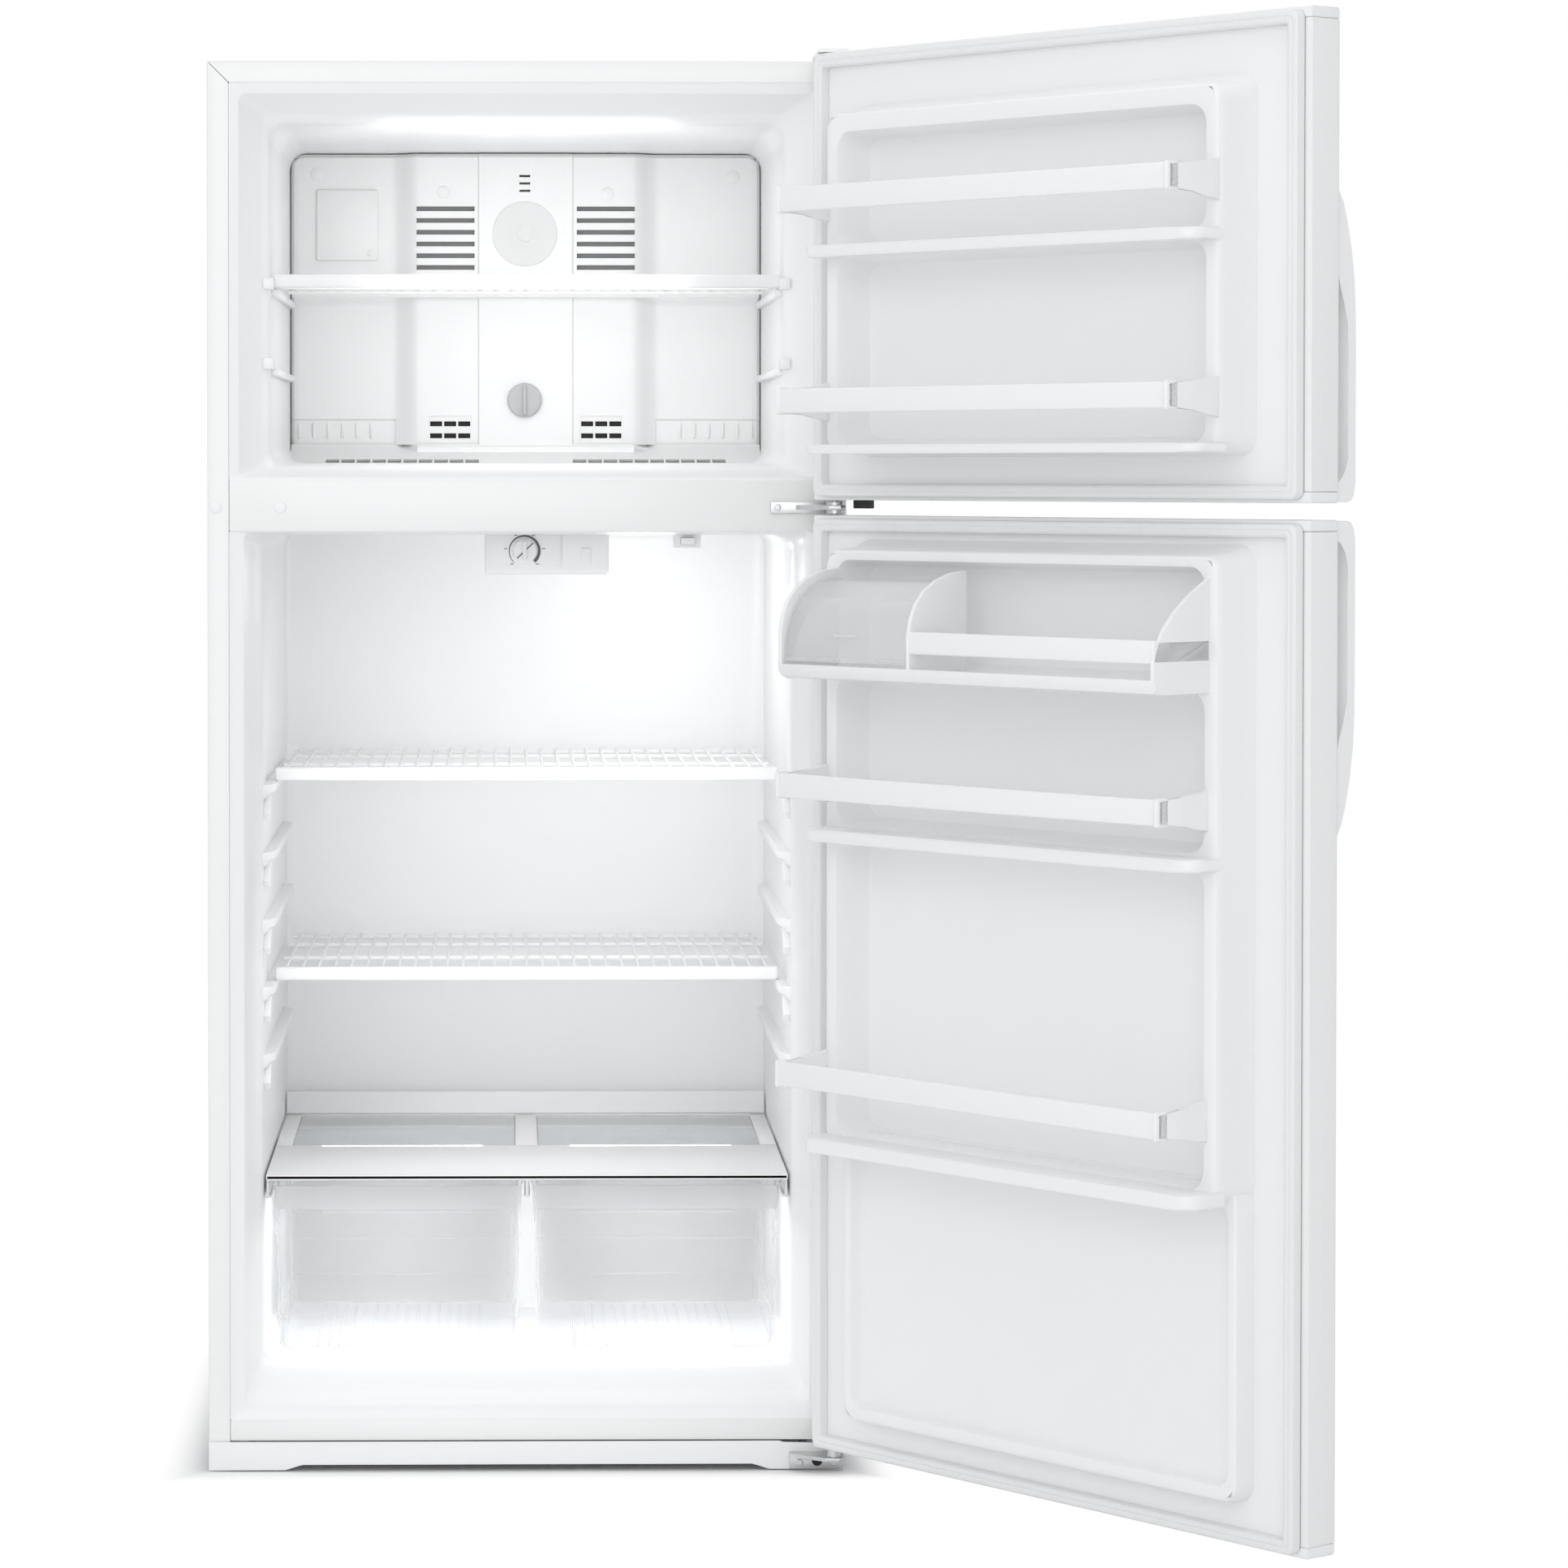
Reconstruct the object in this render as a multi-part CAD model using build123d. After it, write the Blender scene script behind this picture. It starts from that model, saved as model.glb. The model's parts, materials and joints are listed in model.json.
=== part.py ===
"""Top-freezer refrigerator, modelled in millimetres.

The origin is on the floor, under the middle of the cabinet's front face. +X is the user's right, the front faces -Y,
and +Z is up. The doors are modelled shut, then turned about their pins to the stored pose, which is open.
"""
import os

from build123d import *

# Driving sizes
WIDTH = 756.0
HEIGHT = 1671.0
DEPTH = 676.0
OPEN_ANGLE = 130.0
SHEET = 1.0
LINER = 2.0
PIN_X = 362.0
PIN_Y = -33.0
PIN_R = 4.0
BORE_R = 4.06

# Cabinet
HALF = WIDTH / 2
FLANGE = 25.5
OPENING_HALF = HALF - FLANGE - 2.0
THROAT = 47.0
FREEZER_HALF = 308.0
FRIDGE_HALF = 316.0
LINER_BACK = 612.0
FREEZER_CEILING = 1600.0
FREEZER_FLOOR_FRONT = 1194.0
FREEZER_FLOOR_BACK = 1197.0
FRIDGE_CEILING = 1111.0
FRIDGE_FLOOR = 118.0
STEP_Y = 422.0
STEP_Z = 285.0
MULLION_BOTTOM = 1116.0
MULLION_TOP = 1176.0
BOTTOM_RAIL_Z = 36.0
SILL_Z = 61.0
SHELL_BOTTOM = 24.0

# Doors
PAN_Y = -15.0
DOOR_FACE_Y = -63.0
FREEZER_DOOR = (1153.0, 1677.0)
FRIDGE_DOOR = (34.0, 1135.0)
CAP = 12.0
COLUMN_OUT = 302.0
COLUMN_IN = 280.0
COLUMN_Y = 43.0
LEDGE_Y = 86.0
BAR_Y = 121.0
BAR_HEIGHT = 28.0
BAR_HALF = 299.0
FRIDGE_BAR_END = -287.0
SKIRT_Y = 12.0
GASKET_FRONT = -0.8
SEAL_OUT = 368.0
SEAL_IN = 353.0

# Levels of what is inside
FREEZER_SHELF_Z = 1405.0
UPPER_SHELF_Z = 811.0
LOWER_SHELF_Z = 568.0
LEDGE_PITCH = 81.0
CRISPER_Z = 341.0
EVAPORATOR_Y = 530.0
DUCT_DEPTH = 22.0
DUCT_HALF = 148.0
LOUVRE_TOP = 1525.5
LOUVRE_PITCH = 15.15
DAIRY_HINGE = (36.0, 1064.0)
DAIRY_FRONT = 132.0

# The roof is pressed down a little where the top hinge sits, so that its flat top stays clear
SEAT_DEPTH = 0.4
SEAT_X = 339.0
SEAT_Y = 68.0

PARTS = {}


def block(x0, x1, y0, y1, z0, z1):
    """A box between two corners."""
    size = Box(x1 - x0, y1 - y0, z1 - z0)
    return Pos((x0 + x1) / 2, (y0 + y1) / 2, (z0 + z1) / 2) * size


def prism_x(points, x0, x1):
    """An outline in Y and Z, drawn out along X."""
    face = Plane.YZ.offset(x0) * Polygon(*points, align=None)
    return extrude(face, x1 - x0, dir=(1, 0, 0))


def prism_y(points, y0, y1):
    """An outline in X and Z, drawn out along Y."""
    face = Plane.XZ.offset(-y0) * Polygon(*points, align=None)
    return extrude(face, y1 - y0, dir=(0, 1, 0))


def prism_z(points, z0, z1):
    """An outline in X and Y, drawn out along Z."""
    face = Plane.XY.offset(z0) * Polygon(*points, align=None)
    return extrude(face, z1 - z0, dir=(0, 0, 1))


def rod_x(x0, x1, y, z, r):
    """A round bar along X."""
    return Pos((x0 + x1) / 2, y, z) * Rot(0, 90, 0) * Cylinder(r, x1 - x0)


def rod_y(x, y0, y1, z, r):
    """A round bar along Y."""
    return Pos(x, (y0 + y1) / 2, z) * Rot(90, 0, 0) * Cylinder(r, y1 - y0)


def rod_z(x, y, z0, z1, r):
    """A round bar along Z."""
    return Pos(x, y, (z0 + z1) / 2) * Cylinder(r, z1 - z0)


def frame_xz(half_out, z_out, half_in, z_in, y0, y1):
    """A rectangular ring that lies across the cabinet's front."""
    outer = block(-half_out, half_out, y0, y1, *z_out)
    return outer - block(-half_in, half_in, y0 - 1, y1 + 1, *z_in)


def mirrored(shape):
    """The shape and its copy on the other side of X = 0."""
    return [shape, shape.mirror(Plane.YZ)]


def keep(name, *shapes):
    """Add solids to a node."""
    PARTS.setdefault(name, []).extend(shapes)


def cavity(half, outline, opening, grow):
    """The space inside a liner: an outline in Y and Z with a throat that widens to the opening."""
    low, high = outline[0][1], outline[-1][1]
    body = prism_x(outline, -half - grow, half + grow)
    front = Plane.XZ * Pos(0, sum(opening) / 2) * Rectangle(
        2 * (OPENING_HALF + grow), opening[1] - opening[0] + 2 * grow
    )
    back = Plane.XZ.offset(-THROAT) * Pos(0, (low + high) / 2) * Rectangle(2 * (half + grow), high - low)
    return body + loft([front.face(), back.face()])


def freezer_outline(grow):
    """Section of the freezer space, from the floor's front edge round to the ceiling's."""
    rise = (FREEZER_FLOOR_BACK - FREEZER_FLOOR_FRONT) / (LINER_BACK - LINER - THROAT)
    back = LINER_BACK - LINER + grow
    front_z = FREEZER_FLOOR_FRONT - grow
    return [
        (THROAT, front_z),
        (back, front_z + rise * (back - THROAT)),
        (back, FREEZER_CEILING + grow),
        (THROAT, FREEZER_CEILING + grow),
    ]


def fridge_outline(grow):
    """Section of the fridge space, with the step over the machine compartment."""
    back = LINER_BACK - LINER + grow
    return [
        (THROAT, FRIDGE_FLOOR - grow),
        (STEP_Y + grow, FRIDGE_FLOOR - grow),
        (STEP_Y + grow, STEP_Z - grow),
        (back, STEP_Z - grow),
        (back, FRIDGE_CEILING + grow),
        (THROAT, FRIDGE_CEILING + grow),
    ]


FREEZER_OPENING = (MULLION_TOP + LINER, HEIGHT - FLANGE - LINER)
FRIDGE_OPENING = (SILL_Z + LINER, MULLION_BOTTOM - LINER)


def cabinet_shell():
    """Painted steel sides and top, each with its front flange mitred at the corners, and the rear panel."""
    top = HEIGHT - SHEET
    side = block(-HALF, -HALF + SHEET, 0, DEPTH, SHELL_BOTTOM, top)
    flange = prism_y(
        [(-HALF + SHEET, SHELL_BOTTOM), (-HALF + FLANGE, SHELL_BOTTOM), (-HALF + FLANGE, HEIGHT - FLANGE - 0.3),
         (-HALF + SHEET, top - 0.3)], 0, SHEET)
    keep("cabinet_shell", *mirrored(side + flange))
    roof = block(-HALF, HALF, 0, DEPTH, top, HEIGHT)
    lip = prism_y([(-HALF + FLANGE, HEIGHT - FLANGE), (HALF - FLANGE, HEIGHT - FLANGE),
                   (HALF - SHEET, top), (-HALF + SHEET, top)], 0, SHEET)
    seat = block(SEAT_X, HALF + 1, -1, SEAT_Y, HEIGHT - SEAT_DEPTH, HEIGHT + 1)
    keep("cabinet_shell", roof + lip - seat)
    keep("cabinet_shell", block(-HALF + SHEET, HALF - SHEET, DEPTH - SHEET, DEPTH, 236, HEIGHT - SHEET))
    ends = HALF - FLANGE
    for z0, z1 in ((MULLION_BOTTOM, MULLION_TOP), (BOTTOM_RAIL_Z, SILL_Z)):
        keep("cross_rails", block(-ends, ends, 0, SHEET, z0, z1))


def cabinet_foam():
    """The insulation, as the convex slabs that it fills between the shell and the liners."""
    edge = HALF - SHEET
    back = LINER_BACK
    split = (MULLION_TOP + MULLION_BOTTOM) / 2
    mouth = OPENING_HALF + LINER
    for half, z0, z1 in ((FREEZER_HALF, split, HEIGHT - SHEET), (FRIDGE_HALF, 60.0, split)):
        inner = half + LINER
        side = prism_z([(-edge, SHEET), (-mouth, SHEET), (-inner, THROAT), (-inner, back), (-edge, back)], z0, z1)
        keep("cabinet_foam", *mirrored(side))
    freezer = FREEZER_HALF + LINER
    fridge = FRIDGE_HALF + LINER
    roof_z = FREEZER_CEILING + LINER
    keep("cabinet_foam", prism_x(
        [(SHEET, HEIGHT - FLANGE), (THROAT, roof_z), (back, roof_z), (back, HEIGHT - SHEET), (SHEET, HEIGHT - SHEET)],
        -freezer, freezer))
    floor = freezer_outline(LINER)
    keep("cabinet_foam", prism_x(
        [(SHEET, MULLION_TOP), (SHEET, split), (back, split), (back, floor[1][1]), (THROAT, floor[0][1])],
        -freezer, freezer))
    ceiling = FRIDGE_CEILING + LINER
    keep("cabinet_foam", prism_x(
        [(SHEET, MULLION_BOTTOM), (THROAT, ceiling), (back, ceiling), (back, split), (SHEET, split)],
        -fridge, fridge))
    sole = 60.0
    ground = FRIDGE_FLOOR - LINER
    wall = STEP_Y + LINER
    riser = wall + 46.0
    keep("cabinet_foam",
         prism_x([(SHEET, sole), (wall, sole), (wall, ground), (THROAT, ground), (SHEET, SILL_Z)], -fridge, fridge),
         block(-fridge, fridge, wall, riser, sole, STEP_Z - LINER),
         block(-fridge, fridge, riser, back, STEP_Z - LINER - 46, STEP_Z - LINER),
         block(-edge, edge, back, DEPTH - SHEET, 240, HEIGHT - SHEET))


def shelf_ledge(side, z):
    """One moulded ledge of the fridge liner, on which a shelf rests."""
    points = [(0, -14), (15, -8), (15, 0), (0, 0)]
    wall = side * (FRIDGE_HALF + 0.5)
    outline = [(wall - side * a, z + b) for a, b in points]
    return prism_y(outline, 60, 560)


def liners():
    """Two vacuum-formed liners, each a thin skin over the insulation."""
    freezer = cavity(FREEZER_HALF, freezer_outline(LINER), FREEZER_OPENING, LINER)
    freezer -= cavity(FREEZER_HALF, freezer_outline(0), FREEZER_OPENING, 0)
    rest = [block(FREEZER_HALF - 11, FREEZER_HALF + 0.5, 52, 500, z - 10, z) for z in (FREEZER_SHELF_Z, 1310.0)]
    for ledge in rest:
        for one in mirrored(ledge):
            freezer += one
    keep("freezer_liner", freezer)
    fridge = cavity(FRIDGE_HALF, fridge_outline(LINER), FRIDGE_OPENING, LINER)
    fridge -= cavity(FRIDGE_HALF, fridge_outline(0), FRIDGE_OPENING, 0)
    for level in range(5):
        for side in (-1, 1):
            fridge += shelf_ledge(side, UPPER_SHELF_Z - LEDGE_PITCH * level)
    keep("fridge_liner", fridge)


def hinges():
    """Fixed hinge plates, with the pins that the doors turn on."""
    low = FRIDGE_DOOR[0]
    gap0, gap1 = FRIDGE_DOOR[1], FREEZER_DOOR[0]
    middle = (gap0 + gap1) / 2
    plate = block(288, 372, -4, 0, gap0 + 1.5, gap1 - 2)
    arm = prism_z([(318, -4), (372, -4), (374, -38), (368, -45), (354, -45), (346, -36)], middle - 3, middle + 3)
    centre = plate + arm + rod_z(PIN_X, PIN_Y, middle - 3, gap1 + 13, PIN_R)
    keep("centre_hinge", centre + rod_z(PIN_X, PIN_Y, gap0 - 13, middle + 3, PIN_R))
    foot = block(311, 376, -8, -4.5, 2.5, 18)
    tab = prism_z([(311, -4.5), (376, -4.5), (376, -38), (368, -45), (352, -45), (330, -30), (311, -20)], 18, 23)
    washer = rod_z(PIN_X, PIN_Y, 23, low - 1, 8)
    keep("bottom_hinge", foot + tab + washer + rod_z(PIN_X, PIN_Y, low - 2, low + 13, PIN_R))
    top = FREEZER_DOOR[1]
    deck = block(346, 374, 4, 60, HEIGHT - SEAT_DEPTH, top + 3)
    reach = prism_z([(346, 10), (374, 10), (374, -36), (368, -42), (352, -42), (346, -32)], top + 1, top + 3)
    keep("top_hinge", deck + reach + rod_z(PIN_X, PIN_Y, top - 13, top + 3, PIN_R))
    lid = block(341, 378, -46, 64, HEIGHT - SEAT_DEPTH, top + 5.4)
    lid -= block(342.4, 376.6, -44.6, 62.6, HEIGHT - 1, top + 4.2)
    lid -= block(330, 390, -60, 3, HEIGHT - 1, top + 0.8)
    keep("top_hinge_cover", lid)
    heads = [rod_y(x, -11, -8, 10.5, 5.5) for x in (323, 364)]
    heads.append(rod_y(296, -7, -4, middle, 5))
    heads += [rod_z(x, y, top + 3, top + 4, 4) for x, y in ((353, 20), (367, 20), (360, 48))]
    keep("hinge_screws", *heads)
    for x, z in ((-368, middle), (-292, middle)):
        keep("hole_plugs", rod_y(x, -1.4, 0, z, 7.5))


def base():
    """Base pan with its rails and roller pins, the toe grille, legs and rear rollers."""
    edge = HALF - SHEET
    deck = block(-edge, edge, 474, DEPTH - 2, 26, 28)
    pan = deck - block(-344, -314, 570, 640, 20, 40) - block(314, 344, 570, 640, 20, 40)
    for side in (-1, 1):
        x0, x1 = sorted((side * 345, side * edge))
        pan += block(x0, x1, 18, DEPTH - 2, 26, 58)
        pan += block(*sorted((side * 313, side * 310)), 565, 645, 18, 50)
        pan += rod_x(*sorted((side * 311, side * 350)), 605, 22, PIN_R)
        pan += block(*sorted((side * 345, side * 348)), 590, 620, 17, 30)
    bar = block(-346, 346, 18, 70, 40, 46)
    bar += block(-313, 313, 240, 300, 50, 54) + block(-346, -310, 240, 300, 50, 54) + block(310, 346, 240, 300, 50, 54)
    bar += block(-346, 346, 474, 500, 27, 34)
    for side in (-1, 1):
        bar += rod_z(side * 330, 44, 34, 46, 11)
        bar -= rod_z(side * 330, 44, 30, 50, 5.06)
    keep("base_pan", pan + bar)
    for name, side in (("left", -1), ("right", 1)):
        x = side * 330
        keep(f"levelling_leg_{name}", rod_z(x, 44, 0, 9, 17) + rod_z(x, 44, 9, 56, 5))
        wheel = rod_x(x - 9, x + 9, 605, 22, 22) - rod_x(x - 20, x + 20, 605, 22, BORE_R)
        keep(f"rear_roller_{name}", wheel)
    outline = [(-HALF, 1.5), (-286, 1.5), (-267, 9), (267, 9), (286, 1.5), (HALF, 1.5),
               (HALF, 33), (304, 33), (300, 35.5), (-HALF, 35.5)]
    grille = prism_y(outline, -4, -1)
    lugs = [block(x - 8, x + 8, -1, 18, 41, 46) + block(x - 8, x + 8, -1, 1.5, 30, 46) for x in (-250, 0, 250)]
    for lug in lugs:
        grille += lug & block(-HALF, HALF, -1, 18, 20, 35.5)
    keep("toe_grille", grille)


def level_slots(x0, x1, y0, y1, zs, height):
    """Cutters for a column of level slots."""
    return [block(x0, x1, y0, y1, z - height / 2, z + height / 2) for z in zs]


def evaporator():
    """Freezer back cover with its raised duct, and what is behind it."""
    y = EVAPORATOR_Y
    floor = freezer_outline(0)
    rise = (floor[1][1] - floor[0][1]) / (floor[1][0] - THROAT)
    low = FREEZER_FLOOR_FRONT + rise * (y + 3 - THROAT) + 0.5
    plate = block(-FREEZER_HALF + 1, FREEZER_HALF - 1, y, y + 3, low, FREEZER_CEILING - 1)
    raised = [(-DUCT_HALF, 1262), (DUCT_HALF, 1262), (DUCT_HALF, 1568), (-DUCT_HALF, 1568)]
    duct = prism_y(raised, y - DUCT_DEPTH, y)
    duct = fillet(duct.edges().filter_by(Axis.Y), 28)
    duct = chamfer(duct.faces().sort_by(Axis.Y)[0].edges(), 14)
    room = prism_y([(-130, 1280), (130, 1280), (130, 1550), (-130, 1550)], y - 19, y + 4)
    cover = plate + duct - room
    louvres = [LOUVRE_TOP - LOUVRE_PITCH * row for row in range(6)]
    for x in (-106, 106):
        for cut in level_slots(x - 34, x + 34, y - 30, y + 5, louvres, 6.4):
            cover -= cut
    for cut in level_slots(-8, 8, y - 30, y - 15, (1547, 1539, 1530), 3):
        cover -= cut
    cover -= rod_y(-1.5, y - 30, y + 5, 1278.5, 8.0)
    toe = FREEZER_FLOOR_FRONT + rise * (y - THROAT) + 0.5
    foot = prism_x([(y, toe), (y, 1221), (478, 1203), (456, 1199), (456, toe)], -FREEZER_HALF + 1, FREEZER_HALF - 1)
    for x in (-168, 168):
        for k in range(10):
            xk = x - 92 + 20.4 * k
            foot -= block(xk - 8.5, xk + 8.5, 462, 469, toe - 1, 1210)
    keep("evaporator_cover", cover, foot)
    panel = block(-278, -196, y - 5, y - 0.2, 1464, 1556)
    keep("access_cover", fillet(panel.edges().filter_by(Axis.Y), 12))
    coil_y = (y + 30, y + 56)
    tubes = []
    for row in coil_y:
        for k in range(5):
            tubes.append(rod_x(-240, 240, row, 1260 + 28 * k, 4))
    fins = [block(-232 + 29 * k, -230.5 + 29 * k, y + 20, y + 68, 1248, 1384) for k in range(17)]
    coil = tubes[0]
    for piece in tubes[1:] + fins:
        coil += piece
    for row in coil_y:
        for side in (-1, 1):
            coil += block(*sorted((side * 238, side * 246)), row - 4, row + 4, 1256, 1376)
    keep("evaporator_coil", coil)
    keep("defrost_heater", rod_x(-220, 220, y + 44, 1238, 5))
    hub_z = 1498.0
    keep("fan_motors", rod_y(0, y + 38, y + 66, hub_z, 26) + rod_y(0, y + 20, y + 40, hub_z, 3))
    keep("evaporator_fan", fan_blade(0, y + 8, hub_z, 48, 3.06))


def fan_blade(x, y, z, radius, bore):
    """Axial fan with five pitched blades, turning about Y."""
    hub = rod_y(x, y, y + 18, z, 14)
    fan = hub
    for k in range(5):
        blade = block(10, radius, -1.0, 1.0, -13, 13)
        blade = Rot(32, 0, 0) * blade
        fan += Pos(x, y + 9, z) * Rot(0, 72 * k, 0) * blade
    return fan - rod_y(x, y + 10, y + 30, z, bore)


def wire_shelf(half, y0, y1, z, rail_h, node):
    """A coated wire deck, welded to cross wires, with a plastic rail pressed on its front."""
    deck_z = z + rail_h - 3
    rail = block(-half, half, y0, y0 + 12, z, z + rail_h)
    rail = fillet(rail.edges().filter_by(Axis.X), 3.5)
    deck = rod_x(-half + 2, half - 2, y0 + 15, deck_z - 5, 3)
    for y in (y0 + 190, y0 + 350, y1 - 3):
        deck += rod_x(-half + 2, half - 2, y, deck_z - 5, 3)
    count = round(2 * (half - 12) / 19.6)
    pitch = 2 * (half - 12) / count
    for k in range(count + 1):
        deck += rod_y(-half + 12 + k * pitch, y0 + 12, y1, deck_z - 1.2, 1.6)
    keep(node, rail, deck)


def shelves():
    """The freezer shelf and the two fridge shelves."""
    wire_shelf(FREEZER_HALF - 5, 50, 505, FREEZER_SHELF_Z + 0.5, 16, "freezer_shelf")
    wire_shelf(FRIDGE_HALF - 10.5, 137, 590, UPPER_SHELF_Z + 0.5, 16, "upper_shelf")
    wire_shelf(FRIDGE_HALF - 10.5, 137, 590, LOWER_SHELF_Z + 0.5, 16, "lower_shelf")


def knob(x, y, z, radius, skirt):
    """A control knob facing the user, with a finger bar across it and a stub shaft behind."""
    body = rod_y(x, y - 6, y, z, radius) + rod_y(x, y - 1, y + 14, z, 3)
    bar = block(x - 3, x + 3, y - skirt, y - 6, z - radius + 2, z + radius - 2)
    return body + fillet(bar.edges().filter_by(Axis.Y), 2)


def controls():
    """Fridge control housing with its lamp and thermostat, both knobs and the door switch."""
    top = FRIDGE_CEILING
    housing = block(-51, 100, 150, 330, 1060, top)
    housing -= block(-48.5, 97.5, 152.5, 327.5, 1062.5, top + 1)
    housing -= rod_y(-2.5, 140, 160, 1090, 3.6)
    housing -= block(82, 101, 170, 320, 1066, 1098)
    keep("control_housing", housing)
    bulb = Pos(70, 250, 1086) * Rot(90, 0, 0) * Cylinder(11, 50)
    keep("lamp", bulb + rod_y(70, 274, 300, 1086, 8) + block(56, 84, 300, 320, 1066, top - 0.3))
    keep("thermostat", block(-30, 26, 168, 210, 1070, top - 0.3))
    keep("fridge_knob", knob(-2.5, 149, 1090, 19.5, 12))
    keep("freezer_knob", knob(-1.5, EVAPORATOR_Y - DUCT_DEPTH - 0.6, 1278.5, 22, 14))
    body = block(176, 208, 60, 100, FRIDGE_CEILING - 16, FRIDGE_CEILING)
    body -= block(183.7, 200.3, 50, 88, FRIDGE_CEILING - 12.3, FRIDGE_CEILING - 3.7)
    keep("light_switch_body", body)
    keep("light_switch_plunger", block(184, 200, 52, 78, FRIDGE_CEILING - 12, FRIDGE_CEILING - 4))


def drawer(x0, x1, node):
    """A clear crisper drawer: tapered tub with a rolled rim."""
    y0, y1, z0, z1 = 66.0, 400.0, 128.0, 336.0
    wall = 2.5
    lean = 6.0

    def tub(inset, low, high):
        bottom = Plane.XY.offset(low) * Pos((x0 + x1) / 2, (y0 + y1) / 2) * Rectangle(
            x1 - x0 - 2 * (lean + inset), y1 - y0 - 2 * (lean + inset))
        rim = Plane.XY.offset(high) * Pos((x0 + x1) / 2, (y0 + y1) / 2) * Rectangle(
            x1 - x0 - 2 * inset - 4, y1 - y0 - 2 * inset - 4)
        return loft([bottom.face(), rim.face()])

    shell = tub(0, z0, z1) - tub(wall, z0 + wall, z1 + 0.01)
    edge = block(x0, x1, y0, y1, z1 - 6, z1) - block(x0 + 4, x1 - 4, y0 + 4, y1 - 4, z1 - 10, z1 + 1)
    keep(node, shell + edge)


def crispers():
    """Glass-topped crisper cover with the hanging rails under it, and the two drawers."""
    half = FRIDGE_HALF - 3
    z = CRISPER_Z
    cover = block(-half, half, 58, 590, z - 3, z + 3)
    lip = block(-half, half, 584, 590, z + 3, z + 32)
    windows = [(-293, -14), (14, 293)]
    for x0, x1 in windows:
        cover -= block(x0, x1, 300, 575, z - 5, z + 5)
        cover += block(x0 - 2, x1 + 2, 298, 577, z - 3, z - 1.5) - block(x0 + 6, x1 - 6, 306, 569, z - 5, z + 5)
    stem = block(-1.5, 1.5, 70, 410, z - 24, z - 3) + block(-3.6, 3.6, 70, 410, z - 27, z - 24)
    for side in (-1, 1):
        stem += block(*sorted((side * half, side * (half - 3))), 70, 410, z - 27, z - 3)
        stem += block(*sorted((side * half, side * (half - 6))), 70, 410, z - 27, z - 24)
    keep("crisper_cover", cover + lip + stem)
    for x0, x1 in windows:
        keep("crisper_glass", block(x0 + 0.5, x1 - 0.5, 300.5, 574.5, z - 1.5, z + 2.5))
    drawer(-306.5, -4.5, "crisper_drawer_left")
    drawer(4.5, 306.5, "crisper_drawer_right")


def machine():
    """Compressor, condenser, fan, drain pan, pipes, cover and the mains gland in the machine compartment."""
    deck = 28.0
    shell = Pos(-190, 570, deck + 84) * Sphere(74)
    shell = shell & block(-300, -80, 480, 660, deck + 22, deck + 146)
    feet = block(-262, -118, 505, 635, deck + 12, deck + 15)
    pads = [rod_z(x, y, deck, deck + 12, 8) for x in (-250, -130) for y in (516, 624)]
    body = shell + rod_z(-190, 570, deck + 15, deck + 40, 50) + feet
    for pad in pads:
        body += pad
    keep("compressor", body)
    coil = None
    for row in range(3):
        for k in range(4):
            tube = rod_x(90, 290, 535 + 38 * row, deck + 44 + 26 * k, 3.5)
            coil = tube if coil is None else coil + tube
    for k in range(11):
        coil += block(95 + 18.5 * k, 96.2 + 18.5 * k, 526, 620, deck + 36, deck + 130)
    coil += block(88, 92, 524, 622, deck + 2, deck + 134) + block(288, 292, 524, 622, deck + 2, deck + 134)
    keep("condenser_coil", coil)
    motor = Pos(20, 575, deck + 80) * Rot(0, 90, 0) * Cylinder(24, 40)
    bracket = block(2, 14, 566, 584, deck, deck + 70)
    keep("fan_motors", motor + bracket + rod_x(38, 62, 575, deck + 80, 3))
    blade = rod_x(46, 64, 575, deck + 80, 13)
    for k in range(5):
        wing = Rot(0, 0, 32) * block(-1.0, 1.0, -13, 13, 9, 58)
        blade += Pos(55, 575, deck + 80) * Rot(72 * k, 0, 0) * wing
    keep("condenser_fan", blade - rod_x(30, 62.5, 575, deck + 80, 3.06))
    tray = block(96, 284, 530, 616, deck, deck + 24) - block(99, 281, 533, 613, deck + 2, deck + 30)
    keep("drain_pan", tray)
    cover = block(-HALF + 3, HALF - 3, DEPTH - 1.5, DEPTH, 30, 234)
    for k in range(24):
        x = -276 + 24 * k
        cover -= block(x - 5, x + 5, DEPTH - 5, DEPTH + 5, 70, 150)
    cover -= rod_y(-300, DEPTH - 5, DEPTH + 5, 190, 9)
    keep("machine_cover", cover)
    keep("cord_gland", rod_y(-300, DEPTH - 8, DEPTH, 190, 8.8) - rod_y(-300, DEPTH - 20, DEPTH + 9, 190, 4.2))
    suction = rod_z(-190, 560, deck + 146, 232, 4) + rod_x(-190, 0, 560, 228, 4)
    hot = rod_z(-108, 600, deck + 60, 215, 3) + rod_x(-108, 88, 600, 213, 3) + rod_z(86, 600, deck + 136, 216, 3)
    keep("refrigerant_lines", suction, hot)


def rib_shell(boxes):
    """Thin liner over foam blocks: each box grown by the liner's thickness, less the boxes themselves."""
    skin = None
    for x0, x1, y0, y1, z0, z1 in boxes:
        grown = block(x0 - LINER, x1 + LINER, y0, y1 + LINER, z0 - LINER, z1 + LINER)
        skin = grown if skin is None else skin + grown
    for box in boxes:
        skin -= block(box[0], box[1], box[2] - 1, box[3], box[4], box[5])
    return skin


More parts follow.
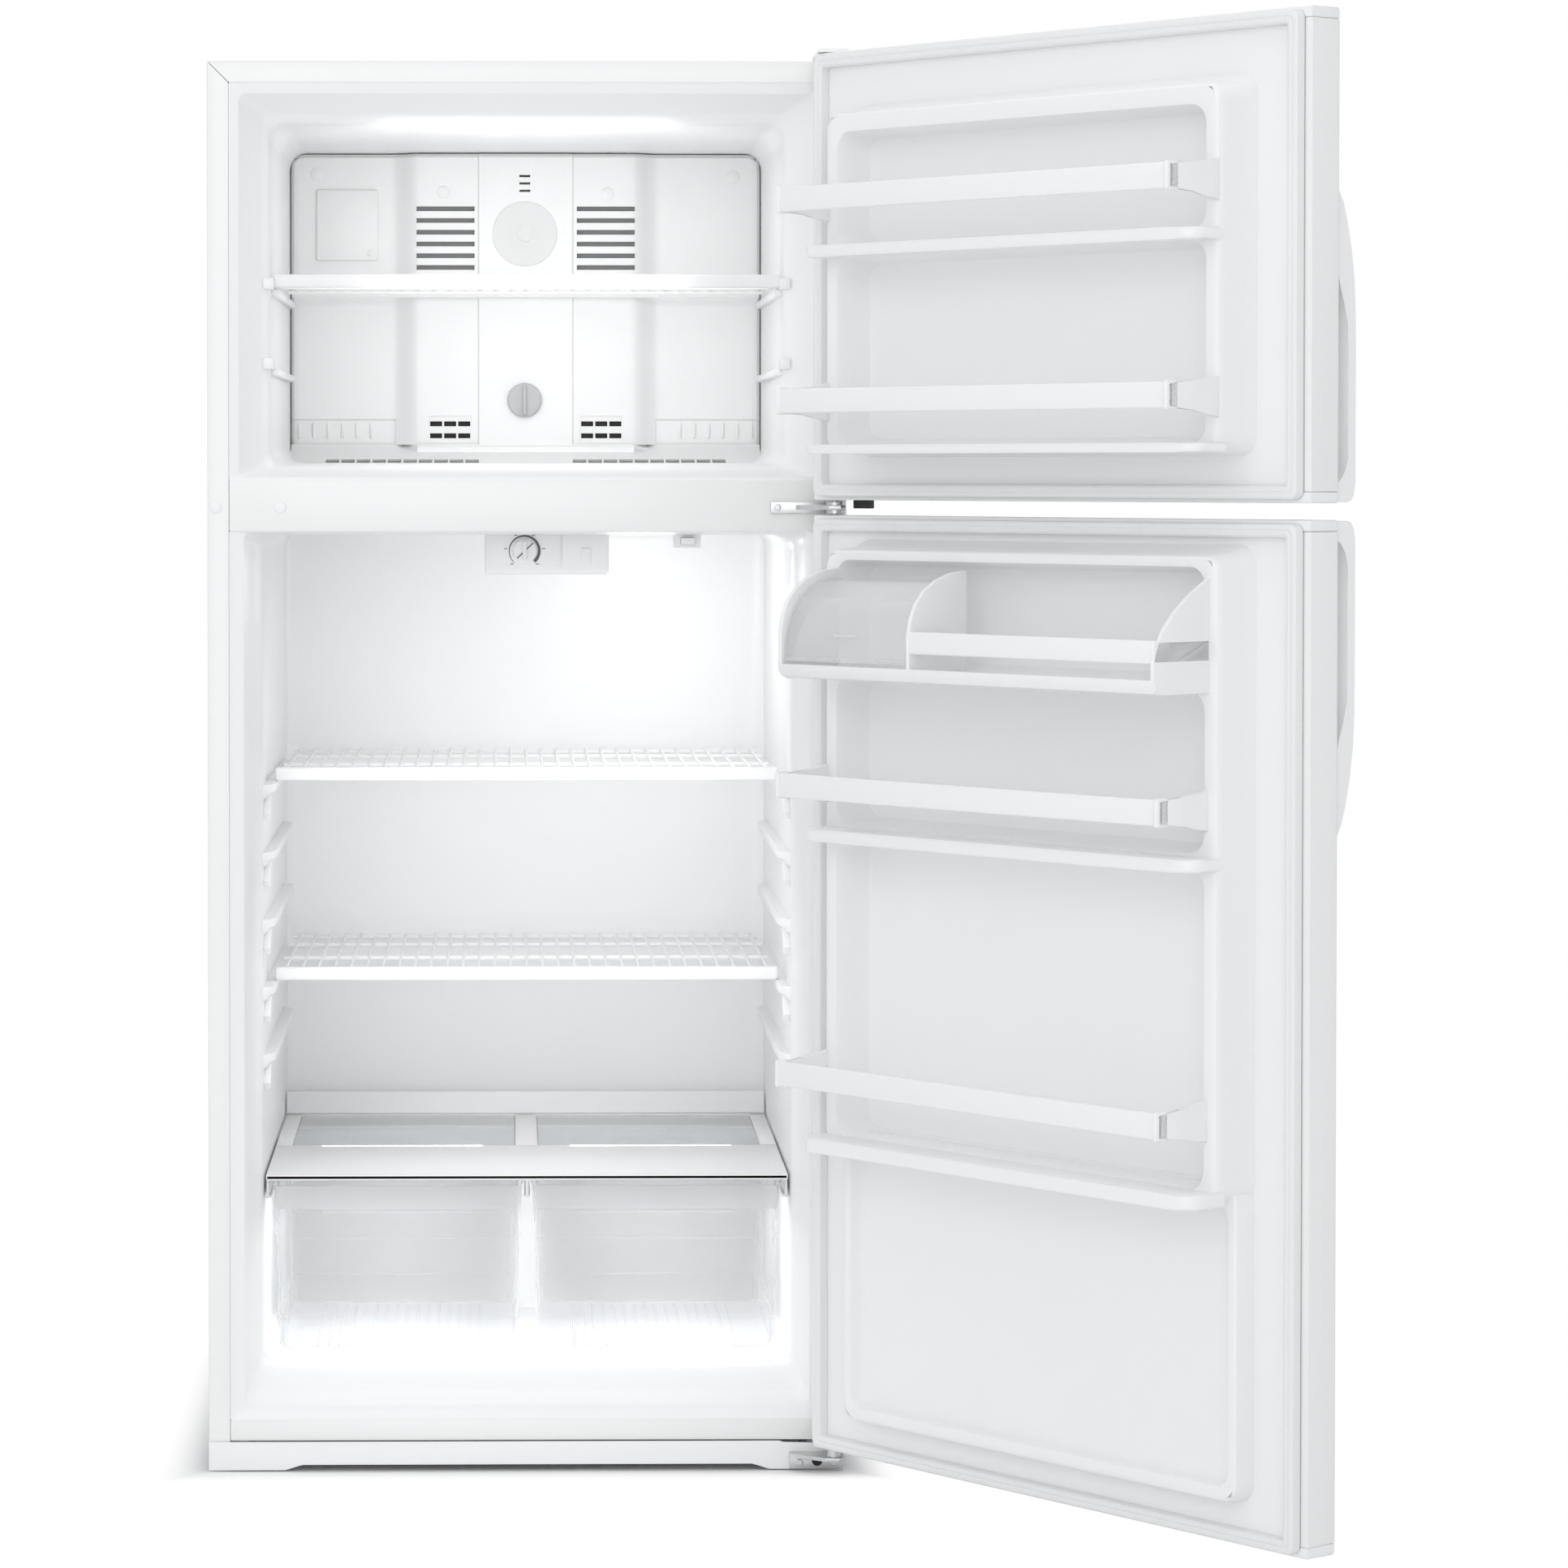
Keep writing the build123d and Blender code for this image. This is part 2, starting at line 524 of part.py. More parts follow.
def door_bar(z0, x0=-BAR_HALF, x1=BAR_HALF, height=BAR_HEIGHT, y1=BAR_Y):
    """A snap-in front bar with its two arms."""
    back = COLUMN_Y + 0.4
    wall = 6.0
    bar = block(x0, x1, y1 - 8, y1, z0, z0 + height)
    bar = fillet(bar.edges().filter_by(Axis.Z).group_by(Axis.Y)[-1], 6)
    arm = prism_x([(back, z0 - 10), (y1 - 40, z0), (y1 - 4, z0), (y1 - 4, z0 + height),
                   (y1 - 40, z0 + height), (back, z0 + height + 8)], x0, x0 + wall)
    return bar + arm + Pos(x1 - x0 - wall, 0, 0) * arm


def door_handle(z_end, z_edge):
    """A bow that stands furthest off the door at the gap between the doors, with a finger gap behind it."""
    face = DOOR_FACE_Y
    proud = 30.0
    rise = 1 if z_edge > z_end else -1
    middle = (z_end + z_edge) / 2 + rise * 40
    outline = Polyline((face, z_end), (face - 7, z_end + rise * 3)) + ThreePointArc(
        (face - 7, z_end + rise * 3), (face - 23, middle), (face - proud, z_edge - rise * 6))
    outline += Polyline((face - proud, z_edge - rise * 6), (face - proud + 4, z_edge), (face, z_edge), (face, z_end))
    solid = extrude(Plane.YZ.offset(-HALF + 5) * make_face(outline), 30)
    gap = Polyline((face + 1, z_end + rise * 95), (face - 4, z_end + rise * 95)) + ThreePointArc(
        (face - 4, z_end + rise * 95), (face - 13, middle + rise * 45), (face - 19, z_edge - rise * 34))
    gap += Polyline((face - 19, z_edge - rise * 34), (face - 14, z_edge - rise * 22), (face + 1, z_edge - rise * 22),
                    (face + 1, z_end + rise * 95))
    solid -= extrude(Plane.YZ.offset(-HALF) * make_face(gap), 60)
    return fillet(solid.edges().filter_by(Axis.X).group_by(Axis.Y)[0], 2)


def door(prefix, z0, z1, columns, ledges, bars, dyke):
    """Every piece that the two doors share. columns, ledges and dyke are foam blocks under the liner."""
    low, high = z0 + CAP, z1 - CAP
    outer = block(-HALF, HALF, DOOR_FACE_Y, PAN_Y, low, high)
    outer = fillet(outer.edges().filter_by(Axis.Z).group_by(Axis.Y)[0], 7)
    inner = block(-HALF + SHEET, HALF - SHEET, DOOR_FACE_Y + SHEET, PAN_Y - SHEET, low - 1, high + 1)
    inner = fillet(inner.edges().filter_by(Axis.Z).group_by(Axis.Y)[0], 6)
    panel = outer - inner - block(-HALF + 14, HALF - 14, -20, 0, low - 1, high + 1)
    keep(f"{prefix}_panel", panel)
    for a, b in ((z0, low), (high, z1)):
        cap = block(-HALF, HALF, DOOR_FACE_Y, PAN_Y, a, b)
        cap = fillet(cap.edges().filter_by(Axis.Z).group_by(Axis.Y)[0], 7)
        keep(f"{prefix}_caps", cap - rod_z(PIN_X, PIN_Y, a - 1, b + 1, BORE_R))
    back = PAN_Y - LINER
    slab = block(-HALF + 1.2, HALF - 1.2, DOOR_FACE_Y + 1.2, back, low, high)
    slab = fillet(slab.edges().filter_by(Axis.Z).group_by(Axis.Y)[0], 6)
    slab -= block(PIN_X - 8, HALF, DOOR_FACE_Y, back + 1, low - 1, low + 4)
    slab -= block(PIN_X - 8, HALF, DOOR_FACE_Y, back + 1, high - 4, high + 1)
    keep(f"{prefix}_foam", slab)
    ribs = columns + ledges + dyke
    liner = block(-HALF + 14.2, HALF - 14.2, back, PAN_Y, low, high) + rib_shell(ribs)
    for box in ribs:
        liner -= block(box[0], box[1], box[2] - 1, box[3], box[4], box[5])
    keep(f"{prefix}_liner", liner)
    for box in ribs:
        keep(f"{prefix}_foam", block(*box))
    seal_z = (z0 + 4, z1 - 4)
    bead = SEAL_OUT - SEAL_IN
    keep(f"{prefix}_gasket", frame_xz(SEAL_OUT, seal_z, SEAL_IN, (seal_z[0] + bead, seal_z[1] - bead),
                                      PAN_Y, GASKET_FRONT))
    if bars:
        keep(f"{prefix}_bars", *bars)


def doors():
    """Both doors, shut."""
    back = PAN_Y - LINER
    out, inn = COLUMN_OUT - LINER, COLUMN_IN + LINER
    top = COLUMN_Y - LINER
    low, high = 1207.0, 1598.0
    columns = [(-out, -inn, back, top, low, high), (inn, out, back, top, low, high)]
    dyke = [(-inn, inn, back, top, high - 22, high), (-out, out, back, SKIRT_Y, high, high + 14)]
    ledges = [(-inn, inn, back, LEDGE_Y, 1432, 1445), (-inn, inn, back, LEDGE_Y, 1207, 1217)]
    door("freezer_door", *FREEZER_DOOR, columns, ledges, [door_bar(1483), door_bar(1253)], dyke)
    keep("freezer_door_handle", door_handle(1487, FREEZER_DOOR[0] + 1))
    low, middle, high = 82.0, 404.0, 1096.0
    columns = [(-out, -inn, back, top, middle, high), (inn, out, back, top, middle, high)]
    shallow = SKIRT_Y - LINER
    columns += [(-out, -inn - 8, back, shallow, low, middle), (inn + 8, out, back, shallow, low, middle)]
    dyke = [(-inn - 8, inn + 8, back, shallow, low, low + 20), (-inn, inn, back, top, high - 12, high)]
    ledges = [(-inn, inn, back, LEDGE_Y, 762, 776), (-inn, inn, back, LEDGE_Y, middle, middle + 16)]
    small_bar = door_bar(984, FRIDGE_BAR_END, 74, 25, 132)
    bars = [small_bar] + [door_bar(z, FRIDGE_BAR_END) for z in (813, 482)]
    door("fridge_door", *FRIDGE_DOOR, columns, ledges, bars, dyke)
    keep("fridge_door_handle", door_handle(797, FRIDGE_DOOR[1] - 1))
    dairy()


def dairy_profile(inset):
    """Side view of the dairy box's curved front, from the pin round to the tray."""
    y0, z0 = DAIRY_HINGE
    y1 = DAIRY_FRONT - inset
    z1 = 966.0
    middle = (y0 + (y1 - y0) * 0.76, z0 - inset - (z0 - z1) * 0.24)
    return ThreePointArc((y0, z0 - inset), middle, (y1, z1 + 40)) + Line((y1, z1 + 40), (y1, z1))


def dairy():
    """White tray over the door's width, a cheek at each end of the dairy box, and the clear lid."""
    y0 = COLUMN_Y + 0.4
    half = COLUMN_IN - 0.4
    tray = block(-half, half, PAN_Y + 0.4, y0 + 2, 952, 957) + block(-BAR_HALF, BAR_HALF, y0, 133, 952, 957)
    for x0, x1 in ((76, 80), (half - 3, half)):
        tray += prism_x([(PAN_Y + 0.4, 957), (118, 957), (118, 1000), (100, 1034), (72, 1056),
                         (40, 1060), (PAN_Y + 0.4, 1060)], x0, x1)
    for x in (78, half - 1.5):
        tray += rod_x(x - 1.5, x + 1.5, *DAIRY_HINGE, 7)
    pin_a = rod_x(78.5, 86, *DAIRY_HINGE, 3)
    pin_b = rod_x(half - 9, half - 1.5, *DAIRY_HINGE, 3)
    keep("dairy_tray", tray + pin_a + pin_b)
    outer, inner = dairy_profile(0), dairy_profile(2.5)
    closing = Line(outer @ 1, inner @ 1) + Line(inner @ 0, outer @ 0)
    skin = extrude(Plane.YZ.offset(80.8) * make_face(outer + inner + closing), half - 3.8 - 80.8)
    x0, x1 = 80.8, half - 3.8
    y, z = DAIRY_HINGE
    lugs = rod_x(x0, x0 + 4, y, z, 6) + rod_x(x1 - 4, x1, y, z, 6)
    lid = skin + lugs
    lid -= rod_x(x0 - 1, x0 + 6, y, z, 3.06)
    lid -= rod_x(x1 - 6, x1 + 1, y, z, 3.06)
    keep("dairy_lid", lid)


def swing(name):
    """Turn one door's node from shut to the stored, open pose."""
    pin = Axis((PIN_X, PIN_Y, 0), (0, 0, 1))
    PARTS[name] = [shape.rotate(pin, OPEN_ANGLE) for shape in PARTS[name]]


def main():
    cabinet_shell()
    cabinet_foam()
    liners()
    hinges()
    base()
    evaporator()
    shelves()
    controls()
    crispers()
    machine()
    doors()
    for name in list(PARTS):
        if name.startswith(("freezer_door", "fridge_door", "dairy")):
            swing(name)
    os.makedirs("parts", exist_ok=True)
    for name, shapes in PARTS.items():
        solids = [solid for shape in shapes for solid in shape.solids()]
        export_step(Compound(children=solids), f"parts/{name}.step")


main()
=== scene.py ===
import json
import math

import bmesh
import bpy
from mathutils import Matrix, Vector


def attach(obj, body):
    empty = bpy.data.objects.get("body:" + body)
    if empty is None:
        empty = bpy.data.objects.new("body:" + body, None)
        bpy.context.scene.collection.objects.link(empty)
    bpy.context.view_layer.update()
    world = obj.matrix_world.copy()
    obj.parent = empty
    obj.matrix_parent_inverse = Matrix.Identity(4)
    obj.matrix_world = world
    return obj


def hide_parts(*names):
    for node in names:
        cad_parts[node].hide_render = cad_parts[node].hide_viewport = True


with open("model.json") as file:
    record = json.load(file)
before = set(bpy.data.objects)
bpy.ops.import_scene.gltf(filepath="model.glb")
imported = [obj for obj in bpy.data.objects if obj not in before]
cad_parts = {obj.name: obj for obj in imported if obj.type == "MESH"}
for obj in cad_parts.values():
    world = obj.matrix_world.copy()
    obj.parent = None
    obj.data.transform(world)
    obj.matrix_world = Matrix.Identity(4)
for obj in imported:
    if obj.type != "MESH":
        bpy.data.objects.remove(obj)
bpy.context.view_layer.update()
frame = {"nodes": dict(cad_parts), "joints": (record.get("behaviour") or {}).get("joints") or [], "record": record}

# --------------------------------------------------------------------------------------------------
# Camera: at chest height, well back, with a long lens. It turns a little towards the open doors and dips
# a little, and the lens is shifted the rest of the way, so that the cabinet's sides stay upright.
VIEW_TURN = math.radians(0.8)
VIEW_DIP = math.radians(1.2)
camera_data = bpy.data.cameras.new("camera")
camera_data.sensor_width = 36
camera_data.lens = 106.66
camera_data.shift_x = 0.1332
camera_data.shift_y = -0.1377
camera_data.clip_start = 0.1
camera_data.clip_end = 100
camera = bpy.data.objects.new("camera", camera_data)
camera.location = (-0.020, -5.4957, 1.1873)
camera.rotation_euler = (math.pi / 2 - VIEW_DIP, 0, -VIEW_TURN)
bpy.context.scene.collection.objects.link(camera)
bpy.context.scene.camera = camera

# --------------------------------------------------------------------------------------------------
# Studio: a white floor before a white backdrop, a wide soft box overhead, a soft key from the upper left
# and a broad fill from the front. Weak fills stand inside the cabinet and the drawers, beside the glow of
# the lamp.
bpy.context.scene.view_settings.view_transform = "Standard"
world = bpy.data.worlds.new("studio_sky")
world.use_nodes = True
sky_tree = world.node_tree
dim_sky = sky_tree.nodes["Background"]
dim_sky.inputs["Color"].default_value = (0.97, 0.985, 1.0, 1)
dim_sky.inputs["Strength"].default_value = 0.72
backdrop = sky_tree.nodes.new("ShaderNodeBackground")
backdrop.inputs["Color"].default_value = (1.0, 1.0, 1.0, 1)
backdrop.inputs["Strength"].default_value = 1.0
seen = sky_tree.nodes.new("ShaderNodeLightPath")
choose = sky_tree.nodes.new("ShaderNodeMixShader")
sky_tree.links.new(seen.outputs["Is Camera Ray"], choose.inputs[0])
sky_tree.links.new(dim_sky.outputs[0], choose.inputs[1])
sky_tree.links.new(backdrop.outputs[0], choose.inputs[2])
sky_tree.links.new(choose.outputs[0], sky_tree.nodes["World Output"].inputs["Surface"])
bpy.context.scene.world = world


def soft_light(name, place, aim, size, power):
    """A square area light at place, facing aim."""
    data = bpy.data.lights.new(name, "AREA")
    data.size = size
    data.energy = power
    lamp = bpy.data.objects.new(name, data)
    lamp.location = place
    lamp.rotation_euler = (Vector(aim) - Vector(place)).to_track_quat("-Z", "Y").to_euler()
    bpy.context.scene.collection.objects.link(lamp)


soft_light("overhead", (0.2, -1.6, 4.6), (0.2, -1.2, 0), 5.0, 34)
soft_light("key", (-2.6, -3.6, 3.4), (0, 0.2, 0.8), 2.0, 12)
soft_light("front_fill", (-0.6, -5.4, 2.0), (0, 0.3, 0.9), 3.4, 50)
soft_light("freezer_fill", (0, 0.03, 1.42), (0, 0.6, 1.40), 0.34, 0.8)
soft_light("fridge_fill", (0, 0.03, 0.70), (0, 0.6, 0.62), 0.5, 0.62)
soft_light("left_drawer_fill", (-0.155, 0.2, 0.333), (-0.155, 0.24, 0), 0.2, 0.95)
soft_light("right_drawer_fill", (0.155, 0.2, 0.333), (0.155, 0.24, 0), 0.2, 0.95)
glow_data = bpy.data.lights.new("cabinet_lamp", "POINT")
glow_data.energy = 0.62
glow_data.shadow_soft_size = 0.04
glow = bpy.data.objects.new("cabinet_lamp", glow_data)
glow.location = (0.14, 0.33, 1.02)
bpy.context.scene.collection.objects.link(glow)

REACH = 14.0
floor_mesh = bpy.data.meshes.new("studio_floor")
floor_corners = [(-REACH, -REACH, 0), (REACH, -REACH, 0), (REACH, REACH, 0), (-REACH, REACH, 0)]
floor_mesh.from_pydata(floor_corners, [], [(0, 1, 2, 3)])
studio_floor = bpy.data.objects.new("studio_floor", floor_mesh)
bpy.context.scene.collection.objects.link(studio_floor)
floor_finish = bpy.data.materials.new("studio_white")
floor_finish.use_nodes = True
floor_finish.node_tree.nodes["Principled BSDF"].inputs["Base Color"].default_value = (0.93, 0.93, 0.93, 1)
floor_finish.node_tree.nodes["Principled BSDF"].inputs["Roughness"].default_value = 0.8
floor_tree = floor_finish.node_tree
floor_where = floor_tree.nodes.new("ShaderNodeTexCoord")
from_middle = floor_tree.nodes.new("ShaderNodeVectorMath")
from_middle.operation = "SUBTRACT"
from_middle.inputs[1].default_value = (0, 0.338, 0)
mirrored = floor_tree.nodes.new("ShaderNodeVectorMath")
mirrored.operation = "ABSOLUTE"
past_edge = floor_tree.nodes.new("ShaderNodeVectorMath")
past_edge.operation = "SUBTRACT"
past_edge.inputs[1].default_value = (0.378, 0.338, 0)
parts = floor_tree.nodes.new("ShaderNodeSeparateXYZ")
farther = floor_tree.nodes.new("ShaderNodeMath")
farther.operation = "MAXIMUM"
clear_of = floor_tree.nodes.new("ShaderNodeMapRange")
clear_of.interpolation_type = "SMOOTHSTEP"
clear_of.inputs["From Min"].default_value = 0.0
clear_of.inputs["From Max"].default_value = 0.06
camera_only = floor_tree.nodes.new("ShaderNodeLightPath")
both = floor_tree.nodes.new("ShaderNodeMath")
both.operation = "MULTIPLY"
paper = floor_tree.nodes.new("ShaderNodeEmission")
paper.inputs["Strength"].default_value = 1.0
blend = floor_tree.nodes.new("ShaderNodeMixShader")
floor_tree.links.new(floor_where.outputs["Object"], from_middle.inputs[0])
floor_tree.links.new(from_middle.outputs[0], mirrored.inputs[0])
floor_tree.links.new(mirrored.outputs[0], past_edge.inputs[0])
floor_tree.links.new(past_edge.outputs[0], parts.inputs[0])
floor_tree.links.new(parts.outputs["X"], farther.inputs[0])
floor_tree.links.new(parts.outputs["Y"], farther.inputs[1])
floor_tree.links.new(farther.outputs[0], clear_of.inputs["Value"])
floor_tree.links.new(clear_of.outputs["Result"], both.inputs[0])
floor_tree.links.new(camera_only.outputs["Is Camera Ray"], both.inputs[1])
floor_tree.links.new(both.outputs[0], blend.inputs["Fac"])
floor_tree.links.new(floor_tree.nodes["Principled BSDF"].outputs["BSDF"], blend.inputs[1])
floor_tree.links.new(paper.outputs["Emission"], blend.inputs[2])
floor_tree.links.new(blend.outputs["Shader"], floor_tree.nodes["Material Output"].inputs["Surface"])
floor_mesh.materials.append(floor_finish)


# --------------------------------------------------------------------------------------------------
# Cabinet shell: roll-formed steel sides and top, each with a returned front flange, mitred at the two
# upper corners, and a flat rear sheet. Baked white enamel with a very fine orange peel.
def effect(name, inputs, outputs):
    """An empty shader node group with the sockets of a shared surface effect."""
    group = bpy.data.node_groups.new(name, "ShaderNodeTree")
    for label, value in inputs.items():
        socket = group.interface.new_socket(label, in_out="INPUT", socket_type="NodeSocketFloat")
        socket.default_value = value
    for label in outputs:
        group.interface.new_socket(label, in_out="OUTPUT", socket_type="NodeSocketFloat")
    return group, group.nodes.new("NodeGroupInput"), group.nodes.new("NodeGroupOutput")


def mottled_grain():
    """Fine relief, and a broad, faint unevenness of tone, both in real units over the piece."""
    group, given, out = effect(
        "mottled_grain", {"Grain per metre": 900.0, "Mottle per metre": 6.0}, ("Relief", "Mottle"))
    where = group.nodes.new("ShaderNodeTexCoord")
    for source, target in (("Grain per metre", "Relief"), ("Mottle per metre", "Mottle")):
        noise = group.nodes.new("ShaderNodeTexNoise")
        noise.inputs["Detail"].default_value = 3.0
        group.links.new(where.outputs["Object"], noise.inputs["Vector"])
        group.links.new(given.outputs[source], noise.inputs["Scale"])
        group.links.new(noise.outputs["Fac"], out.inputs[target])
    return group


def rubbed_edges():
    """A mask that is 1 on outer edges, broken up as handling breaks it up."""
    group, given, out = effect("rubbed_edges", {"Sharpness": 12.0}, ("Edge",))
    shape = group.nodes.new("ShaderNodeNewGeometry")
    where = group.nodes.new("ShaderNodeTexCoord")
    noise = group.nodes.new("ShaderNodeTexNoise")
    noise.inputs["Scale"].default_value = 60.0
    raised = group.nodes.new("ShaderNodeMath")
    raised.operation = "SUBTRACT"
    raised.inputs[1].default_value = 0.52
    sharp = group.nodes.new("ShaderNodeMath")
    sharp.operation = "MULTIPLY"
    sharp.use_clamp = True
    broken = group.nodes.new("ShaderNodeMath")
    broken.operation = "MULTIPLY"
    broken.use_clamp = True
    group.links.new(where.outputs["Object"], noise.inputs["Vector"])
    group.links.new(shape.outputs["Pointiness"], raised.inputs[0])
    group.links.new(raised.outputs[0], sharp.inputs[0])
    group.links.new(given.outputs["Sharpness"], sharp.inputs[1])
    group.links.new(sharp.outputs[0], broken.inputs[0])
    group.links.new(noise.outputs["Fac"], broken.inputs[1])
    group.links.new(broken.outputs[0], out.inputs["Edge"])
    return group


GRAIN = mottled_grain()
EDGES = rubbed_edges()


def finish(name, tone, shade, roughness, grain=900.0, relief=0.03, metal=0.0, edge=None, coat=0.0,
           spread=0.05):
    """A material whose tone drifts towards shade and roughness by spread, under a fine relief."""
    material = bpy.data.materials.new(name)
    material.use_nodes = True
    tree = material.node_tree
    surface = tree.nodes["Principled BSDF"]
    surface.inputs["Metallic"].default_value = metal
    surface.inputs["Coat Weight"].default_value = coat
    surface.inputs["Coat Roughness"].default_value = 0.08
    texture = tree.nodes.new("ShaderNodeGroup")
    texture.node_tree = GRAIN
    texture.inputs["Grain per metre"].default_value = grain
    colour = tree.nodes.new("ShaderNodeMix")
    colour.data_type = "RGBA"
    colour.inputs["A"].default_value = (*tone, 1)
    colour.inputs["B"].default_value = (*shade, 1)
    tree.links.new(texture.outputs["Mottle"], colour.inputs["Factor"])
    last = colour
    if edge:
        rub = tree.nodes.new("ShaderNodeGroup")
        rub.node_tree = EDGES
        last = tree.nodes.new("ShaderNodeMix")
        last.data_type = "RGBA"
        last.inputs["B"].default_value = (*edge, 1)
        tree.links.new(colour.outputs["Result"], last.inputs["A"])
        tree.links.new(rub.outputs["Edge"], last.inputs["Factor"])
    tree.links.new(last.outputs["Result"], surface.inputs["Base Color"])
    gloss = tree.nodes.new("ShaderNodeMapRange")
    gloss.inputs["To Min"].default_value = roughness - spread
    gloss.inputs["To Max"].default_value = roughness + spread
    tree.links.new(texture.outputs["Mottle"], gloss.inputs["Value"])
    tree.links.new(gloss.outputs["Result"], surface.inputs["Roughness"])
    bump = tree.nodes.new("ShaderNodeBump")
    bump.inputs["Strength"].default_value = relief
    bump.inputs["Distance"].default_value = 0.001
    tree.links.new(texture.outputs["Relief"], bump.inputs["Height"])
    tree.links.new(bump.outputs["Normal"], surface.inputs["Normal"])
    return material


def make_piece(name, shapes, body, material, stands_for=(), crease=32.0):
    """Join shapes, given as (points in millimetres, faces), into one mesh piece that rides on a body."""
    points, faces = [], []
    for some_points, some_faces in shapes:
        first = len(points)
        points.extend((p[0] / 1000, p[1] / 1000, p[2] / 1000) for p in some_points)
        faces.extend(tuple(first + i for i in face) for face in some_faces)
    mesh = bpy.data.meshes.new(name)
    mesh.from_pydata(points, [], faces)
    tidy = bmesh.new()
    tidy.from_mesh(mesh)
    bmesh.ops.remove_doubles(tidy, verts=tidy.verts, dist=0.00001)
    bmesh.ops.dissolve_degenerate(tidy, edges=tidy.edges, dist=0.00001)
    bmesh.ops.recalc_face_normals(tidy, faces=tidy.faces)
    tidy.to_mesh(mesh)
    tidy.free()
    mesh.shade_smooth()
    mesh.set_sharp_from_angle(angle=math.radians(crease))
    mesh.materials.append(material)
    piece = bpy.data.objects.new(name, mesh)
    bpy.context.scene.collection.objects.link(piece)
    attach(piece, body)
    if stands_for:
        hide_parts(*stands_for)
    return piece


def lofted(loops, near_cap=False, far_cap=False):
    """A skin between loops that have equally many points, with or without a flat cap at each end."""
    points = [point for loop in loops for point in loop]
    count = len(loops[0])
    faces = []
    for row in range(len(loops) - 1):
        a, b = row * count, (row + 1) * count
        faces += [(a + i, a + (i + 1) % count, b + (i + 1) % count, b + i) for i in range(count)]
    if near_cap:
        faces.append(tuple(range(count)))
    if far_cap:
        faces.append(tuple(range(len(points) - count, len(points))))
    return points, faces


white_enamel = finish("white_enamel", (0.885, 0.885, 0.88), (0.87, 0.87, 0.865), 0.33, grain=700.0,
                      relief=0.03, coat=0.25)
HALF, TOP, DEPTH = 378.0, 1671.0, 676.0
FLANGE = 25.5
MITRE_GAP = 0.45
fold = [(0, DEPTH), (0, 2.6), (0.3, 1.3), (1.0, 0.4), (2.4, 0), (FLANGE - 1.4, 0), (FLANGE - 0.4, 0.4),
        (FLANGE, 1.4), (FLANGE, 9), (FLANGE - 1, 9), (FLANGE - 1, 1.5), (2.4, 1.0), (1.0, 2.6), (1.0, DEPTH)]
shell_shapes = []
for hand in (-1, 1):
    foot = [(hand * (HALF - d), y, 24.0) for d, y in fold]
    head = [(hand * (HALF - d), y, TOP - d - MITRE_GAP) for d, y in fold]
    shell_shapes.append(lofted([foot, head], True, True))
roof_ends = [[(hand * (HALF - d - MITRE_GAP), y, TOP - d) for d, y in fold] for hand in (-1, 1)]
shell_shapes.append(lofted(roof_ends, True, True))


def slab(x0, x1, y0, y1, z0, z1, soft=1.5, steps=2):
    """A block with softened edges."""
    shape = bmesh.new()
    bmesh.ops.create_cube(shape, size=1)
    for vertex in shape.verts:
        x, y, z = vertex.co
        vertex.co = ((x0 + x1) / 2 + x * (x1 - x0), (y0 + y1) / 2 + y * (y1 - y0),
                     (z0 + z1) / 2 + z * (z1 - z0))
    if soft:
        bmesh.ops.bevel(shape, geom=shape.edges[:], offset=soft, segments=steps, affect="EDGES", profile=0.5,
                        clamp_overlap=True)
    points = [tuple(vertex.co) for vertex in shape.verts]
    faces = [tuple(vertex.index for vertex in face.verts) for face in shape.faces]
    shape.free()
    return points, faces


shell_shapes.append(slab(-HALF + 1.2, HALF - 1.2, DEPTH - 1.5, DEPTH - 0.3, 236, TOP - 1.5, 0.3))
make_piece("cabinet_shell", shell_shapes, "cabinet", white_enamel, ["cabinet_shell"])

# --------------------------------------------------------------------------------------------------
# Cross rails: the mullion between the two openings and the rail under the lower one, pressed from the
# same enamelled steel and screwed to the side flanges from behind, so that only a fine seam shows at each
# end.
RAIL_END = 352.2
rail_shapes = [slab(-RAIL_END, RAIL_END, 0.2, 8, 1116, 1176, 0.9), slab(-RAIL_END, RAIL_END, 0.2, 8, 36, 61,
                                                                        0.9)]
make_piece("cross_rails", rail_shapes, "cabinet", white_enamel, ["cross_rails"])


# --------------------------------------------------------------------------------------------------
# Freezer liner: one vacuum-formed tub of glossy plastic. Its lip lies behind the flange, then a slanted
# breaker band leads in to a soft bead, and from there the walls run straight back.
def upright_loop(half, z0, z1, r, y, middle=0.0, steps=6):
    """Points of a rounded rectangle that stands across the cabinet at depth y."""
    loop = []
    for corner, (cx, cz) in enumerate(((half - r, z0 + r), (half - r, z1 - r), (-half + r, z1 - r),
                                       (-half + r, z0 + r))):
        for step in range(steps + 1):
            turn = math.radians(-90 + 90 * corner + 90 * step / steps)
            loop.append((middle + cx + r * math.cos(turn), y, cz + r * math.sin(turn)))
    return loop


